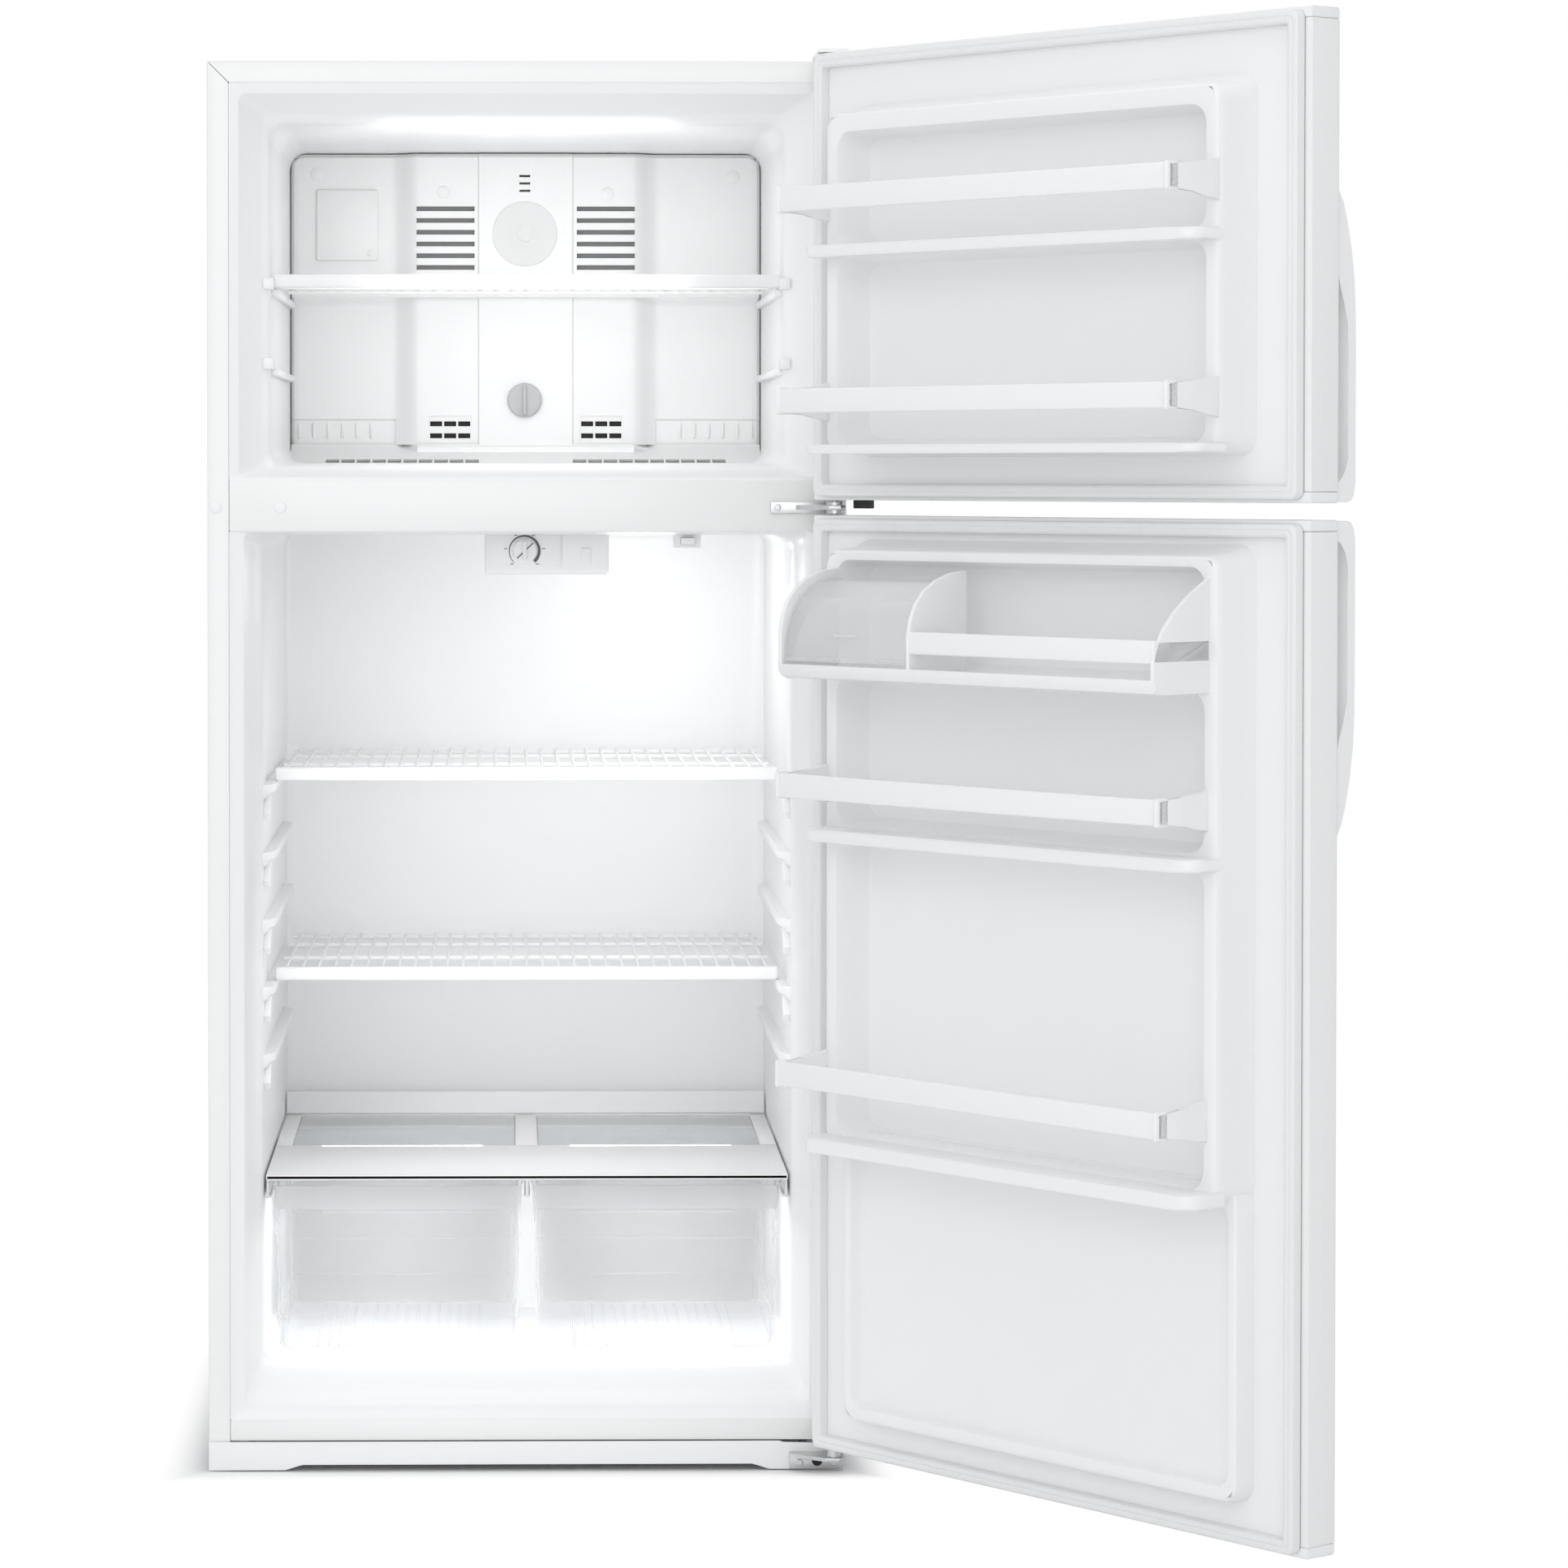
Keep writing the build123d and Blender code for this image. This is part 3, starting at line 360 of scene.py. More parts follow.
formed_plastic = finish("formed_plastic", (0.895, 0.9, 0.9), (0.88, 0.885, 0.89), 0.34, grain=260.0,
                        relief=0.02, spread=0.04)
FREEZER_WALL = 305.0
lip = [(1.2, 352.4, 1175.7, 1645.6, 2), (1.8, 351.0, 1177.0, 1644.2, 4), (4.2, 342.5, 1179.4, 1634.5, 8),
       (5.2, 340.6, 1178.9, 1632.8, 9), (7.5, 339.6, 1179.4, 1631.8, 10), (30.0, 319.5, 1187.0, 1615.5, 13),
       (36.0, 315.6, 1189.6, 1612.0, 14), (38.5, 313.0, 1191.0, 1609.5, 15), (41.0, 310.2, 1192.2, 1606.5,
                                                                              16),
       (45.0, 307.6, 1193.2, 1602.6, 17), (50.0, 306.0, 1194.0, 1599.8, 18), (58.0, 305.2, 1194.6, 1598.4,
                                                                              20),
       (70.0, FREEZER_WALL, 1194.9, 1598.0, 22), (546.0, FREEZER_WALL, 1197.4, 1598.0, 22)]
tub = lofted([upright_loop(half, z0, z1, r, y) for y, half, z0, z1, r in lip], False, True)
freezer_liner_shapes = [tub]


def drawn(outline, axis, low, high, soft=1.0, steps=2):
    """An outline drawn out along x, y or z, with its two rims softened."""
    put = {"x": lambda a, b, c: (c, a, b), "y": lambda a, b, c: (a, c, b), "z": lambda a, b,
           c: (a, b, c)}[axis]
    shape = bmesh.new()
    ends = [[shape.verts.new(put(a, b, c)) for a, b in outline] for c in (low, high)]
    caps = [shape.faces.new(end) for end in ends]
    count = len(outline)
    for i in range(count):
        j = (i + 1) % count
        shape.faces.new((ends[0][i], ends[0][j], ends[1][j], ends[1][i]))
    if soft:
        rims = [edge for cap in caps for edge in cap.edges]
        bmesh.ops.bevel(shape, geom=rims, offset=soft, segments=steps, affect="EDGES", profile=0.5,
                        clamp_overlap=True)
    shape.verts.index_update()
    points = [tuple(vertex.co) for vertex in shape.verts]
    faces = [tuple(vertex.index for vertex in face.verts) for face in shape.faces]
    shape.free()
    return points, faces


for z in (1405.0, 1310.0):
    for hand in (-1, 1):
        x0, x1 = sorted((hand * (FREEZER_WALL + 1), hand * (FREEZER_WALL - 8)))
        freezer_liner_shapes.append(slab(x0, x1, 60, 500, z - 9, z - 0.3, 2.5))
        x0, x1 = sorted((hand * (FREEZER_WALL + 9), hand * (FREEZER_WALL - 4)))
        freezer_liner_shapes.append(slab(x0, x1, 34, 66, z - 2, z + 12, 2.5))
make_piece("freezer_liner", freezer_liner_shapes, "cabinet", formed_plastic,
           ["freezer_liner"])

# --------------------------------------------------------------------------------------------------
# Fridge liner: formed like the freezer's, with a sloping sill, a step over the machine compartment and
# five tapering ledges in each side wall for the wire shelves.
FRIDGE_WALL = 316.0
sill = [(1.2, 352.4, 60.8, 1116.2, 2), (1.8, 351.0, 63.0, 1115.4, 4), (3.0, 348.6, 66.0, 1114.8, 6),
        (4.4, 338.6, 70.5, 1114.5, 8), (5.6, 335.4, 74.0, 1114.3, 9), (9.0, 333.6, 78.5, 1114.0, 10),
        (22.0, 329.0, 89.6, 1113.2, 14), (24.0, 328.4, 92.0, 1113.0, 14), (36.0, 324.4, 107.0, 1112.2, 16),
        (42.0, 322.0, 113.5, 1111.8, 17), (48.0, 319.0, 117.6, 1111.4, 18),
        (56.0, 317.0, 118.6, 1111.0, 20), (70.0, FRIDGE_WALL, 118.8, 1111.0, 22),
        (418.0, FRIDGE_WALL, 119.0, 1111.0, 22),
        (422.0, FRIDGE_WALL, 123.0, 1111.0, 22), (423.0, FRIDGE_WALL, 281.0, 1111.0, 22),
        (427.0, FRIDGE_WALL, 285.2, 1111.0, 22), (596.0, FRIDGE_WALL - 0.5, 285.6, 1111.0, 22),
        (604.0, FRIDGE_WALL - 3, 288.0, 1108.5, 22), (608.0, FRIDGE_WALL - 9, 294.0, 1102.0, 20),
        (609.4, FRIDGE_WALL - 20, 305.0, 1091.0, 14)]
fridge_liner_shapes = [lofted([upright_loop(half, z0, z1, r, y) for y, half, z0, z1, r in sill], False,
                              True)]
LEDGE_TOP, LEDGE_PITCH = 811.0, 81.0
for level in range(5):
    z = LEDGE_TOP - LEDGE_PITCH * level
    for hand in (-1, 1):
        wall = hand * (FRIDGE_WALL + 0.5)
        plan = [(wall, 62), (wall - hand * 5, 66), (wall - hand * 12, 84), (wall - hand * 14, 110),
                (wall - hand * 14, 548), (wall - hand * 9, 560), (wall, 564)]
        lower = [(x, y, z - 15 if abs(x) > FRIDGE_WALL - 2 else z - 9) for x, y in plan]
        upper = [(x, y, z - 0.4) for x, y in plan]
        under = [(wall - (wall - x) * 0.25, y, z - 17) for x, y, _ in lower]
        rim = [(wall - (wall - x) * 0.93, y, z + 0.2) for x, y in plan]
        fridge_liner_shapes.append(lofted([under, lower, upper, rim], True, True))
        hook = [(66, z - 34), (84, z - 14), (112, z - 3), (112, z - 12), (92, z - 24), (74, z - 42)]
        x0, x1 = sorted((wall, wall - hand * 9))
        fridge_liner_shapes.append(drawn(hook, "x", x0, x1, 1.6))
make_piece("fridge_liner", fridge_liner_shapes, "cabinet", formed_plastic,
           ["fridge_liner", "cabinet_foam"])

# --------------------------------------------------------------------------------------------------
# Evaporator cover: a moulded white panel over the freezer's cold coil. Two fields bulge forward beside a
# flat middle column, louvres and vents are pierced through it, and its foot slopes forward onto the
# floor.
moulded_white = finish("moulded_white", (0.89, 0.89, 0.89), (0.875, 0.875, 0.875), 0.36, grain=1500.0,
                       relief=0.03)
# A near-black finish that is painted shade: it goes on thin sheets and discs set in holes, slots and gaps, standing
# for the shade in them.
painted_shade_black = finish("painted_shade_black", (0.012, 0.012, 0.012), (0.03, 0.03, 0.03), 0.7)


def pierced_sheet(us, vs, place, holes, inward):
    """A sheet over the grid us by vs, with holes whose walls run inward by that vector."""
    points = [place(u, v) for v in vs for u in us]
    width = len(us)

    def open_here(i, j):
        """True where the grid's cell i, j lies in a hole."""
        if not (0 <= i < width - 1 and 0 <= j < len(vs) - 1):
            return False
        u, v = (us[i] + us[i + 1]) / 2, (vs[j] + vs[j + 1]) / 2
        return any(u0 < u < u1 and v0 < v < v1 for u0, u1, v0, v1 in holes)

    def behind(k):
        """A new point behind point k."""
        points.append(tuple(p + d for p, d in zip(points[k], inward)))
        return len(points) - 1

    faces = []
    for j in range(len(vs) - 1):
        for i in range(width - 1):
            a = j * width + i
            if not open_here(i, j):
                faces.append((a, a + 1, a + width + 1, a + width))
                continue
            for di, dj, p, q in ((0, -1, a, a + 1), (0, 1, a + width, a + width + 1),
                                 (-1, 0, a, a + width), (1, 0, a + 1, a + width + 1)):
                if not open_here(i + di, j + dj):
                    faces.append((p, q, behind(q), behind(p)))
    return points, faces


def eased(t):
    """0 to 1 with soft ends."""
    t = min(max(t, 0.0), 1.0)
    return t * t * (3 - 2 * t)


COVER_HALF, COVER_BOTTOM, COVER_TOP, COVER_Y = 303.4, 1221.0, 1596.6, 530.0
COLUMN_HALF = 61.0


def cover_relief(x, z):
    """How far the cover stands forward of its side fields."""
    bulge = 18.5 * eased((172 - abs(x)) / 34)
    column = 3.0 * eased((COLUMN_HALF + 1.0 - abs(x)) / 2.0)
    lower = -2.5 * eased((1254.5 - z) / 2.5) if abs(x) > 168 else 0.0
    rim = -5.0 * eased((abs(x) - (COVER_HALF - 5)) / 5) - 5.0 * eased((z - (COVER_TOP - 5)) / 5)
    vents = -2.0 if 70 < abs(x) < 125 and 1224 < z < 1258 else 0.0
    return bulge + column + lower + rim + vents


cover_holes = []
for hand in (-1, 1):
    for row in range(6):
        z = 1525.5 - 15.15 * row
        cover_holes.append((*sorted((hand * 66, hand * 141)), z - 3.1, z + 3.1))
    for column in range(3):
        x = hand * (79.5 + 18.2 * column)
        for z in (1248.0, 1232.5):
            cover_holes.append((x - 7.8, x + 7.8, z - 3.2, z + 3.2))
for z in (1567.5, 1558.0, 1548.5):
    cover_holes.append((-8, 6, z - 1.5, z + 1.5))
across = {-COVER_HALF, COVER_HALF, 0.0}
for x in [4 * k for k in range(1, 76)]:
    across |= {float(x), -float(x)}
for edge in (60.0, 61.0, 62.0, 70.0, 70.1, 124.9, 125.0, 168.1, 300.5, 302.0):
    across |= {edge, -edge}
upward = {COVER_BOTTOM, COVER_TOP, 1252.0, 1252.8, 1253.6, 1254.5, 1224.0, 1224.1, 1257.9, 1258.0, 1592.0,
          1594.0}
upward |= {COVER_BOTTOM + 14.0 * k for k in range(1, 27)}
for x0, x1, z0, z1 in cover_holes:
    across |= {x0, x1}
    upward |= {z0, z1}
CORNER = 17.0


def cover_point(x, z):
    """A point of the cover's face, with its upper corners rounded off."""
    y = COVER_Y - cover_relief(x, z)
    cx, cz = COVER_HALF - CORNER, COVER_TOP - CORNER
    if abs(x) > cx and z > cz:
        dx, dz = abs(x) - cx, z - cz
        scale = max(dx, dz) / math.hypot(dx, dz)
        x, z = math.copysign(cx + dx * scale, x), cz + dz * scale
    return x, y, z


face_sheet = pierced_sheet(sorted(across), sorted(upward), cover_point, cover_holes, (0, 9, 0))
foot_path = [(530.0, 1221.4), (529.0, 1219.6), (526.0, 1218.0), (505.0, 1211.2), (486.0, 1205.3),
             (476.0, 1202.1),
             (470.0, 1200.2), (463.0, 1198.0), (459.5, 1196.6), (458.0, 1194.0)]
foot_holes = []
for hand in (-1, 1):
    for k in range(10):
        x = hand * (69.0 + 19.9 * k)
        foot_holes.append((x - 8.7, x + 8.7, 5, 7))
foot_across = {-COVER_HALF, COVER_HALF, -COVER_HALF + 6, COVER_HALF - 6, 0.0}
for x0, x1, _, _ in foot_holes:
    foot_across |= {x0, x1}


def foot_point(x, k):
    """A point of the foot, on its sloping profile, with the front corners rounded off."""
    y, z = foot_path[k]
    reach = COVER_HALF - (7.0 if y < 460 else 3.0 if y < 464 else 0.0)
    return max(-reach, min(reach, x)), y - (21.5 * (y - 458) / 72 if abs(x) < 150 and y > 525 else 0), z


foot_sheet = pierced_sheet(sorted(foot_across), list(range(len(foot_path))), foot_point, foot_holes,
                           (0, 2, -3))
cover_shapes = [face_sheet, foot_sheet]
for hand in (-1, 1):
    for k in range(6):
        x = hand * (200 + 18.6 * k)
        cover_shapes.append(slab(x - 1.6, x + 1.6, 529.4, 536, 1229, 1249, 1.2))
make_piece("evaporator_cover", cover_shapes, "cabinet", moulded_white,
           ["evaporator_cover"], 26)


def spun(profile, centre, axis, steps=40):
    """A turned shape: profile gives (distance along the axis, radius) from one end to the other."""
    loops = []
    for along, radius in profile:
        loop = []
        for step in range(steps):
            a = 2 * math.pi * step / steps
            side, up = radius * math.cos(a), radius * math.sin(a)
            offset = {"x": (along, side, up), "y": (side, along, up), "z": (side, up, along)}[axis]
            loop.append(tuple(c + o for c, o in zip(centre, offset)))
        loops.append(loop)
    return lofted(loops, True, True)


cover_trim = [spun([(2, 42), (-0.6, 42), (-1.4, 41.2), (-1.4, 12), (-0.9, 11), (-0.9, 10.2), (-1.5, 9.4),
                    (-1.5, 0.1)], (-1, 508.9, 1493), "y", 64)]
for x, z, y in ((-270, 1571, 530), (269, 1568, 530), (-106, 1547, 511.6), (106, 1545, 511.6)):
    cover_trim.append(spun([(3, 9.6), (0.4, 9.6), (0.4, 8.6), (-0.8, 8.2), (-1.2, 7.4), (-1.2, 0.1)],
                           (x, y, z), "y", 28))
cover_trim.append(slab(-271, -191, 526.2, 531, 1459, 1551, 4.0, 3))
cover_trim.append(spun([(1, 5), (-0.6, 5), (-1.2, 4), (-1.2, 0.1)], (-200, 526.2, 1469), "y", 20))
for x, z in ((-24, 1299), (-3, 1307), (17, 1299)):
    cover_trim.append(spun([(1, 1.3), (-0.3, 1.3), (-0.3, 0.1)], (x, 508.4, z), "y", 12))
fan_tone = finish("fan_disc_plastic", (0.80, 0.80, 0.80), (0.77, 0.77, 0.77), 0.5, grain=1500.0, relief=0.06)
make_piece("cover_trim", cover_trim[1:], "cabinet", moulded_white, ["access_cover"])
make_piece("fan_boss", cover_trim[:1], "cabinet", fan_tone)
louvre_shade = finish("louvre_shade", (0.30, 0.30, 0.30), (0.26, 0.26, 0.26), 0.7)
make_piece("louvre_shadow", [slab(-150, 150, 520, 523, 1259, 1562, 0.2)], "cabinet", louvre_shade)
# Painted shade: black sheets behind the lower vents and the foot's slots stand for the shade behind the cover.
shade_behind_cover = [slab(-150, 150, 520, 523, 1222, 1258, 0.2), slab(-262, 262, 466, 484, 1194.6, 1197.4, 0.2)]
make_piece("cover_shadow", shade_behind_cover, "cabinet", painted_shade_black)

# --------------------------------------------------------------------------------------------------
# Temperature knobs: turned-looking grey mouldings with a finger bar, one on the evaporator cover and a
# white one on the fridge's control housing, each pushed onto a stub shaft.
grey_knob = finish("grey_knob", (0.52, 0.53, 0.54), (0.48, 0.49, 0.5), 0.4, grain=1800.0, relief=0.05)


def knob_shapes(x, y, z, r):
    """Skirt, face and finger bar of a knob whose back is at depth y."""
    skirt = spun([(0, r - 1), (-1, r), (-5.4, r - 0.3), (-6.6, r - 1.4), (-6.9, r - 3), (-6.9, 0.1)],
                 (x, y, z), "y", 56)
    bar = slab(x - 2.6, x + 2.6, y - 12.5, y - 6, z - r + 2.5, z + r - 2.5, 1.8, 3)
    return [skirt, bar]


make_piece("freezer_knob", knob_shapes(-1.5, 506.4, 1278.5, 22), "freezer_knob", grey_knob,
           ["freezer_knob"])
make_piece("fridge_knob", knob_shapes(-2.5, 148.0, 1090, 14.5), "fridge_knob", moulded_white,
           ["fridge_knob"])

# --------------------------------------------------------------------------------------------------
# Control housing: a white moulded box screwed under the fridge's ceiling, with the dial on its left and
# the lamp's latch on its right. The dial's scale is a dark band that widens towards its cold end.
housing_side = [(150.5, 1111), (149.4, 1108), (148.6, 1071), (149.4, 1066), (152, 1062.5), (156, 1061),
                (318, 1058.5), (326, 1061), (330, 1067), (330, 1111)]
housing_shapes = [drawn(housing_side, "x", -51, 100, 3.0, 3)]
housing_shapes.append(slab(-50, 41, 147.6, 150, 1072, 1110, 0.8))
housing_shapes.append(slab(43, 99, 147.8, 150, 1072, 1110, 0.8))
housing_shapes.append(slab(66, 78.5, 146.4, 149, 1073.5, 1094, 1.0))
housing_shapes.append(slab(68, 76.5, 145.2, 148, 1089, 1093, 0.8))
make_piece("control_housing", housing_shapes, "cabinet", moulded_white, ["control_housing"])
scale_ink = finish("scale_ink", (0.10, 0.105, 0.11), (0.13, 0.135, 0.14), 0.5)
DIAL = (-2.5, 1090.0)
band_outer, band_inner = [], []
for step in range(61):
    share = step / 60
    a = math.radians(228 - 276 * share)
    for ring, radius in ((band_outer, 19.4), (band_inner, 18.9 - 3.6 * share)):
        ring.append((DIAL[0] + radius * math.cos(a), DIAL[1] + radius * math.sin(a)))
dial_shapes = [drawn(band_outer + band_inner[::-1], "y", 147.2, 148.2, 0)]
for share in (0.0, 0.2, 0.4, 0.6, 0.8, 1.0):
    a = math.radians(228 - 276 * share)
    cx, cz = DIAL[0] + 23.2 * math.cos(a), DIAL[1] + 21.6 * math.sin(a)
    dial_shapes.append(slab(cx - 1.9, cx + 1.9, 147.3, 148, cz - 0.45, cz + 0.45, 0))
make_piece("dial_scale", dial_shapes, "cabinet", scale_ink)
pointer = [(-9.6, -8.4), (-8.6, -9.4), (10.6, 9.2), (9.8, 10.2)]
pointer = [(DIAL[0] + a, DIAL[1] + b) for a, b in pointer]
make_piece("knob_pointer", [drawn(pointer, "y", 140.6, 141.4, 0)], "fridge_knob", scale_ink)

# --------------------------------------------------------------------------------------------------
# Wire shelves: coated steel wires welded across stouter cross wires. The freezer's has a deep moulded
# rail along its front, the fridge's two have a shallower one, and all of them rest on the liners' ledges.
wire_coat = finish("wire_coat", (0.89, 0.89, 0.89), (0.87, 0.87, 0.87), 0.36, grain=1200.0, relief=0.03)


def shelf_shapes(half, y0, y1, z, rail):
    """Rail, end clips, cross wires and deck wires of one shelf whose underside is at height z."""
    shapes = [slab(-half, half, y0, y0 + 12, z, z + rail, 3.2, 3)]
    deck = z + rail - 3.4
    for y in (y0 + 15, y0 + 190, y0 + 350, y1 - 3):
        shapes.append(spun([(-half + 2, 2.8), (half - 2, 2.8)], (0, y, deck - 5), "x", 10))
    count = round(2 * (half - 12) / 19.6)
    for k in range(count + 1):
        x = -half + 12 + k * 2 * (half - 12) / count
        shapes.append(spun([(y0 + 11, 1.5), (y1 - 4, 1.5), (y1 - 1, 1.1)], (x, 0, deck - 1), "y", 8))
    for hand in (-1, 1):
        x0, x1 = sorted((hand * (half - 0.5), hand * (half - 14)))
        shapes.append(slab(x0, x1, y0 + 2, y0 + 42, z + 0.6, z + 5, 1.2))
    return shapes


make_piece("freezer_shelf", shelf_shapes(302.5, 50, 505, 1405.5, 16), "freezer_shelf", wire_coat,
           ["freezer_shelf"])
make_piece("upper_shelf", shelf_shapes(305.5, 137, 590, 811.5, 16), "upper_shelf", wire_coat,
           ["upper_shelf"])
make_piece("lower_shelf", shelf_shapes(305.5, 137, 590, 568.5, 16), "lower_shelf", wire_coat,
           ["lower_shelf"])


# --------------------------------------------------------------------------------------------------
# Crispers: a white moulded cover with two glass panes, and under it two clear tubs that hang by their
# rims and slide forward. Each tub has a rolled rim, a frosted grip band, two steps in its walls and ribs
# on its floor.
def level_loop(x0, x1, y0, y1, r, z, steps=5):
    """Points of a rounded rectangle that lies level at height z."""
    loop = []
    for corner, (cx, cy) in enumerate(((x1 - r, y0 + r), (x1 - r, y1 - r), (x0 + r, y1 - r),
                                       (x0 + r, y0 + r))):
        for step in range(steps + 1):
            turn = math.radians(-90 + 90 * corner + 90 * step / steps)
            loop.append((cx + r * math.cos(turn), cy + r * math.sin(turn), z))
    return loop


def see_through(name, tone, shade, face_cover, edge_cover, roughness=0.06):
    """A clear moulding or pane: thin when faced, denser where it is seen along its surface."""
    material = finish(name, tone, shade, roughness, relief=0.01, spread=0.02)
    tree = material.node_tree
    angle = tree.nodes.new("ShaderNodeLayerWeight")
    angle.inputs["Blend"].default_value = 0.35
    cover = tree.nodes.new("ShaderNodeMapRange")
    cover.inputs["To Min"].default_value = face_cover
    cover.inputs["To Max"].default_value = edge_cover
    tree.links.new(angle.outputs["Facing"], cover.inputs["Value"])
    tree.links.new(cover.outputs["Result"], tree.nodes["Principled BSDF"].inputs["Alpha"])
    return material


clear_moulding = see_through("clear_moulding", (0.9, 0.91, 0.925), (0.86, 0.875, 0.9), 0.05, 0.62)
frosted_band = see_through("frosted_band", (0.88, 0.89, 0.9), (0.84, 0.85, 0.87), 0.5, 0.8, 0.35)
pane_glass = see_through("pane_glass", (0.78, 0.81, 0.83), (0.75, 0.79, 0.81), 0.14, 0.8)
CRISPER_LID_HALF = 313.0
crisper_lid_shapes = [slab(-CRISPER_LID_HALF, CRISPER_LID_HALF, 58, 300, 337.6, 344, 1.4),
                      slab(-CRISPER_LID_HALF, CRISPER_LID_HALF, 575, 590, 338, 344, 1.0)]
crisper_lid_shapes.append(slab(-CRISPER_LID_HALF, CRISPER_LID_HALF, 58, 62, 336.8, 343.4, 1.6))
for x0, x1 in ((-CRISPER_LID_HALF, -293), (-14, 14), (293, CRISPER_LID_HALF)):
    crisper_lid_shapes.append(slab(x0, x1, 296, 579, 338, 344, 0.8))
for hand in (-1, 1):
    x0, x1 = sorted((hand * CRISPER_LID_HALF, hand * (CRISPER_LID_HALF - 3)))
    crisper_lid_shapes.append(slab(x0, x1, 70, 410, 314, 340, 1.0))
    x0, x1 = sorted((hand * CRISPER_LID_HALF, hand * (CRISPER_LID_HALF - 6)))
    crisper_lid_shapes.append(slab(x0, x1, 70, 410, 314, 317, 0.8))
crisper_lid_shapes += [slab(-1.5, 1.5, 70, 410, 317, 340, 0.6), slab(-3.6, 3.6, 70, 410, 314, 317, 0.8)]
upstand = [(583, 343), (580, 346), (586, 372), (588.5, 373), (590, 371), (590, 343)]
crisper_lid_shapes.append(drawn(upstand, "x", -CRISPER_LID_HALF, CRISPER_LID_HALF, 1.0))
for x0, x1 in ((-293, -14), (14, 293)):
    window_lips = ((x0, x1, 300, 303), (x0, x1, 572, 575), (x0, x0 + 3, 300, 575), (x1 - 3, x1, 300, 575))
    for left, right, front, back in window_lips:
        crisper_lid_shapes.append(slab(left, right, front, back, 338, 340.4, 0.5))
make_piece("crisper_cover", crisper_lid_shapes, "cabinet", moulded_white, ["crisper_cover"])
panes = [slab(x0 + 0.7, x1 - 0.7, 300.7, 574.3, 340.4, 343.6, 0.7) for x0, x1 in ((-293, -14), (14, 293))]
make_piece("crisper_glass", panes, "cabinet", pane_glass, ["crisper_glass"])


def tub_shapes(x0, x1):
    """Walls, rim and ribs of one crisper between x0 and x1."""
    outside = [(128, 20, 14), (128.6, 15.5, 14), (131.5, 11, 14), (136, 8.8, 14), (166, 8.0, 15),
               (168, 6.6, 16), (264, 4.6, 16), (266, 3.2, 17), (327, 2.0, 18), (329, 1.2, 18), (330, 0.2, 18),
               (334.6, 0, 18), (336, 1.0, 18)]
    inside = [(336, 5.0, 15), (334.5, 5.8, 15), (266, 6.0, 15), (264, 7.2, 14), (168, 9.2, 14),
              (166, 10.6, 13), (137, 11.4, 12), (133, 13.6, 12), (131, 18.0, 12), (130.6, 24, 12)]
    y0, y1 = 66.0, 400.0
    loops = [level_loop(x0 + d, x1 - d, y0 + d, y1 - d, r, z) for z, d, r in outside + inside]
    shapes = [lofted(loops, True, True)]
    for k in range(16):
        x = (x0 + x1) / 2 - 97.5 + 13.0 * k
        shapes.append(slab(x - 1.5, x + 1.5, 96, 372, 130, 132.6, 0.7, 1))
    return shapes


for name, x0, x1 in (("left", -306.5, -4.5), ("right", 4.5, 306.5)):
    make_piece(f"crisper_drawer_{name}", tub_shapes(x0, x1), f"crisper_{name}", clear_moulding,
               [f"crisper_drawer_{name}"])
    band = [slab(x0 + 6, x1 - 6, 66.6, 68.8, 301, 329, 0.8),
            slab(x0 + 60, x1 - 60, 67.4, 74, 296, 301.5, 1.2)]
    make_piece(f"grip_band_{name}", band, f"crisper_{name}", frosted_band)

# --------------------------------------------------------------------------------------------------
# Door shells: a folded, enamelled steel outer panel with a moulded white cap closing its top and bottom
# edge. Every door part is drawn with the door shut and then turned about the hinge pin to where the open
# door holds it.
door_hinge = {joint["name"]: joint for joint in frame["joints"]}["freezer_door_hinge"]
PIN_X, PIN_Y = 1000 * door_hinge["pos_m"][0], 1000 * door_hinge["pos_m"][1]
SWING = math.radians(-door_hinge["range_deg"][0])
DOORS = {"freezer": (1153.0, 1677.0), "fridge": (34.0, 1135.0)}
CAP = 12.0
DOOR_FACE = -63.0
DOOR_CORNER = 7.0


def hang(name, shapes, body, material, stands_for=(), crease=32.0):
    """Make a piece from shapes drawn with the door shut."""
    c, s = math.cos(SWING), math.sin(SWING)
    turned = []
    for points, faces in shapes:
        moved = [(PIN_X + (x - PIN_X) * c - (y - PIN_Y) * s, PIN_Y + (x - PIN_X) * s + (y - PIN_Y) * c, z)
                 for x, y, z in points]
        turned.append((moved, faces))
    return make_piece(name, turned, body, material, stands_for, crease)


def door_plan(inset, back):
    """Plan of a door's shell: a flat face with rounded front corners."""
    plan = [(HALF - inset, back), (-HALF + inset, back)]
    for hand, turns in ((-1, (180, 198, 216, 234, 252, 270)), (1, (270, 288, 306, 324, 342, 360))):
        for turn in turns:
            a = math.radians(turn)
            plan.append((hand * (HALF - DOOR_CORNER) + (DOOR_CORNER - inset) * math.cos(a),
                         DOOR_FACE + DOOR_CORNER + (DOOR_CORNER - inset) * math.sin(a)))
    return plan


for door, (low_z, high_z) in DOORS.items():
    body = door + "_door"
    panel = [drawn(door_plan(0, -15.2), "z", low_z + CAP + 0.3, high_z - CAP - 0.3, 0.4, 1)]
    hang(body + "_panel", panel, body, white_enamel, [body + "_panel"])
    caps = [drawn(door_plan(0.2, -14.6), "z", low_z, low_z + CAP, 2.0, 3),
            drawn(door_plan(0.2, -14.6), "z", high_z - CAP, high_z, 2.0, 3)]
    hang(body + "_caps", caps, body, moulded_white, [body + "_caps"])
    # Painted shade: a thin black strip on the cap's edge that faces the gap between the doors stands for the shade in
    # the slot there.
    gap_side = low_z - 0.05 if door == "freezer" else high_z - 0.35
    slot_shade_mark = [slab(-356, -330, -45, -41, gap_side, gap_side + 0.4, 0)]
    hang(door + "_cap_slot_shade", slot_shade_mark, body, painted_shade_black)

